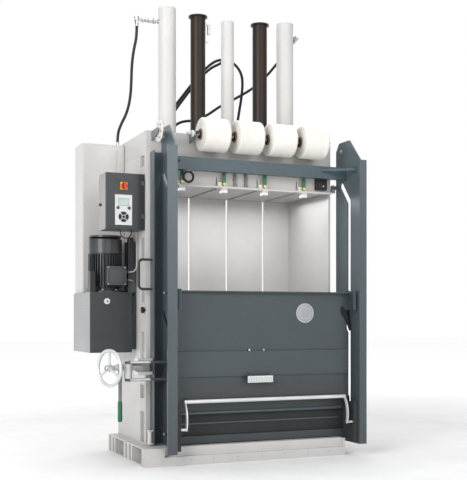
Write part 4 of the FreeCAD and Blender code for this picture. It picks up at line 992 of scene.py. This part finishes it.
def window_liners(bm):
    """Grey sheets behind the left column's windows, lapping each window inside the column's ends."""
    for low, high in WINDOWS:
        bottom = max(low - LINER_LAP, LINER_LIMITS[0])
        top = min(high + LINER_LAP, LINER_LIMITS[1])
        add_box(bm, (-617.9, -616.4), (-188, -90), (bottom, top))


piece("window_liners", window_liners, LINER, "press_frame")

# ------------------------------------------------------------------ base fascia
BASE_FACE = -417


def fascia_seams(bm):
    """The fascia's panel joints and small holes."""
    for x in (-250, 85, 420):
        add_box(bm, (x - 1, x + 1), (BASE_FACE - 0.4, BASE_FACE + 0.2), (10, 54))
    for x in (-400, -80, 250, 580):
        add_pin(bm, (x, BASE_FACE, 34), FORWARD, 4, 0.5, 16, 0.2)


piece("fascia_seams", fascia_seams, LINER, "press_frame")


# ------------------------------------------------------------------ hoses and cables
def spline(name, points, radius, material, replaced=None):
    """A cord along a route, in millimetres, between two places on the press frame."""
    curve = bpy.data.curves.new(name, "CURVE")
    curve.dimensions = "3D"
    curve.bevel_depth = radius
    curve.bevel_resolution = 6
    curve.resolution_u = 12
    line = curve.splines.new("NURBS")
    line.points.add(len(points) - 1)
    for i, (x, y, z) in enumerate(points):
        line.points[i].co = (x * MM, y * MM, z * MM, 1.0)
    line.order_u = 3
    line.use_endpoint_u = True
    obj = bpy.data.objects.new(name, curve)
    bpy.context.scene.collection.objects.link(obj)
    curve.materials.append(material)
    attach(obj, "press_frame")
    if replaced:
        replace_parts(obj, replaced)


HOSE_R = 0.0095
THICK_CABLE_R = 0.004
THIN_CABLE_R = 0.003
# Each hose's length in millimetres, and the points that its route follows.
ROUTES = {
    "hose_left": (790, [(-590, 105, 2855), (-590, 105, 2785), (-606, 128, 2695), (-609, 158, 2600),
                        (-602, 190, 2505), (-599, 222, 2405), (-611, 262, 2310), (-640, 315, 2235),
                        (-655, 340, 2175), (-655, 340, 2119)]),
    "hose_loop": (1497, [(-400, 240, 2140), (-400, 240, 2210), (-365, 240, 2285), (-290, 240, 2360),
                         (-180, 240, 2505), (-80, 240, 2632), (10, 240, 2716), (72, 240, 2742),
                         (139, 240, 2738), (197, 240, 2704), (232, 240, 2646), (238, 240, 2578),
                         (228, 240, 2480), (208, 240, 2370), (190, 240, 2260), (190, 240, 2140)]),
    "hose_centre": (902, [(-352, 200, 2140), (-352, 200, 2205), (-330, 202, 2280), (-270, 205, 2365),
                          (-185, 205, 2480), (-98, 205, 2590), (-15, 203, 2668), (56, 190, 2700),
                          (114, 160, 2772), (114, 160, 2860)]),
    "hose_right": (1225, [(-290, 285, 2140), (-290, 285, 2200), (-258, 285, 2260), (-196, 285, 2292),
                          (-110, 285, 2302), (-20, 285, 2345), (80, 285, 2420), (180, 285, 2474),
                          (325, 283, 2562), (425, 272, 2650), (494, 240, 2740), (543, 197, 2811),
                          (583, 153, 2880)]),
}
CONTROL_LOOP = [(-764, -110, 1470), (-764, -110, 1448), (-750.5, -110, 1429), (-727, -110, 1421.5),
                (-705.5, -110, 1429), (-692, -110, 1448), (-692, -110, 1470)]
MOTOR_RUN = [(-698, -50.3, 1210), (-670, -50.3, 1210), (-650, -51, 1222), (-639, -52, 1243),
             (-638, -53, 1300), (-639, -51, 1370), (-638, -52, 1470)]
VALVE_RUN = [(-698, -50.3, 1160), (-682, -50.3, 1159), (-667, -46, 1156), (-658, -35, 1152),
             (-656, -20, 1149)]

for cad, (length, route) in ROUTES.items():
    spline(cad + "_rubber", route, HOSE_R, RUBBER, cad)
spline("control_cable_sheath", CONTROL_LOOP, THIN_CABLE_R, RUBBER, "control_cable")
spline("motor_cable", MOTOR_RUN, THICK_CABLE_R, CABLE)
spline("valve_cable", VALVE_RUN, THIN_CABLE_R, CABLE)


# ------------------------------------------------------------------ floor, light, camera
FLOOR_HALF = 30
FLOOR_DROP = 0.0005
FLOOR_NEAR = 2.6
FLOOR_FAR = 7.0
FLOOR_GLOW = 0.62


def floor():
    """A plain white floor that brightens with distance from the object, as a lit studio sweep does."""
    mesh = bpy.data.meshes.new("floor")
    corners = [(x * FLOOR_HALF, y * FLOOR_HALF, 0) for x, y in ((-1, -1), (1, -1), (1, 1), (-1, 1))]
    mesh.from_pydata(corners, [], [(0, 1, 2, 3)])
    obj = bpy.data.objects.new("floor", mesh)
    obj.location.z = -FLOOR_DROP
    bpy.context.scene.collection.objects.link(obj)
    paint = surface("floor_white", (244, 244, 244), rough=0.9, vary=0.01, bump=0.0, specular=0.1)
    t = paint.node_tree
    away = node(t, "ShaderNodeVectorMath", operation="LENGTH")
    t.links.new(node(t, "ShaderNodeTexCoord").outputs["Object"], away.inputs[0])
    glow = map_range(t, away.outputs["Value"], FLOOR_NEAR, FLOOR_FAR, high=FLOOR_GLOW)
    bsdf = t.nodes["Principled BSDF"]
    bsdf.inputs["Emission Color"].default_value = WHITE_COLOUR
    t.links.new(glow, bsdf.inputs["Emission Strength"])
    mesh.materials.append(paint)


def area(name, place, aim, size, watts):
    """A rectangular light that the camera doesn't see, in metres and watts."""
    data = bpy.data.lights.new(name, "AREA")
    data.shape = "RECTANGLE"
    data.size, data.size_y = size
    data.energy = watts
    obj = bpy.data.objects.new(name, data)
    obj.location = place
    obj.rotation_euler = (Vector(aim) - Vector(place)).to_track_quat("-Z", "Y").to_euler()
    obj.visible_camera = False
    bpy.context.scene.collection.objects.link(obj)


CAMERA_TURN = math.radians(23)
SWEEP_RANGE = (0.62, 0.86)
WALL_LEVEL = 0.32
SWEEP_LEVEL = 1.0


def studio_world():
    """A white sweep behind the object, and dimmer walls on the other sides."""
    world = bpy.data.worlds.new("studio")
    world.use_nodes = True
    t = world.node_tree
    back = t.nodes["Background"]
    back.inputs["Color"].default_value = WHITE_COLOUR
    facing = node(t, "ShaderNodeVectorMath", operation="DOT_PRODUCT")
    facing.inputs[1].default_value = (math.sin(CAMERA_TURN), math.cos(CAMERA_TURN), 0.0)
    t.links.new(node(t, "ShaderNodeTexCoord").outputs["Generated"], facing.inputs[0])
    level = map_range(t, facing.outputs["Value"], *SWEEP_RANGE, WALL_LEVEL, SWEEP_LEVEL)
    t.links.new(level, back.inputs["Strength"])
    bpy.context.scene.world = world


floor()
studio_world()
area("key_left", (-6.0, -4.6, 3.6), (0.0, 0.0, 1.3), (3.5, 4.0), 330)
area("sheen_left", (-3.4, 5.4, 2.0), (-0.7, 0.0, 1.3), (3.0, 4.0), 52)
area("fill_front", (1.5, -8.0, 4.2), (0.0, 0.0, 1.4), (6.0, 4.0), 200)
area("top_soft", (0.0, 0.5, 6.5), (0.0, 0.0, 0.0), (6.0, 6.0), 260)
area("chamber_soft", (0.1, -0.02, 1.74), (0.1, -0.02, 0.0), (1.1, 0.5), 5)
bpy.context.scene.view_settings.view_transform = "Standard"

EYE = (-2.4005, -5.8085, 0.9135)
LENS = 69.3
SENSOR = 36.0
LENS_RISE = 0.1625


def camera():
    """The photo's view: level, with the lens shifted up so that upright edges stay upright."""
    cam = bpy.data.cameras.new("camera")
    cam.lens = LENS
    cam.sensor_width = SENSOR
    cam.shift_y = LENS_RISE
    eye = bpy.data.objects.new("camera", cam)
    eye.location = EYE
    eye.rotation_euler = (math.radians(90), 0.0, -CAMERA_TURN)
    bpy.context.scene.collection.objects.link(eye)
    bpy.context.scene.camera = eye


camera()
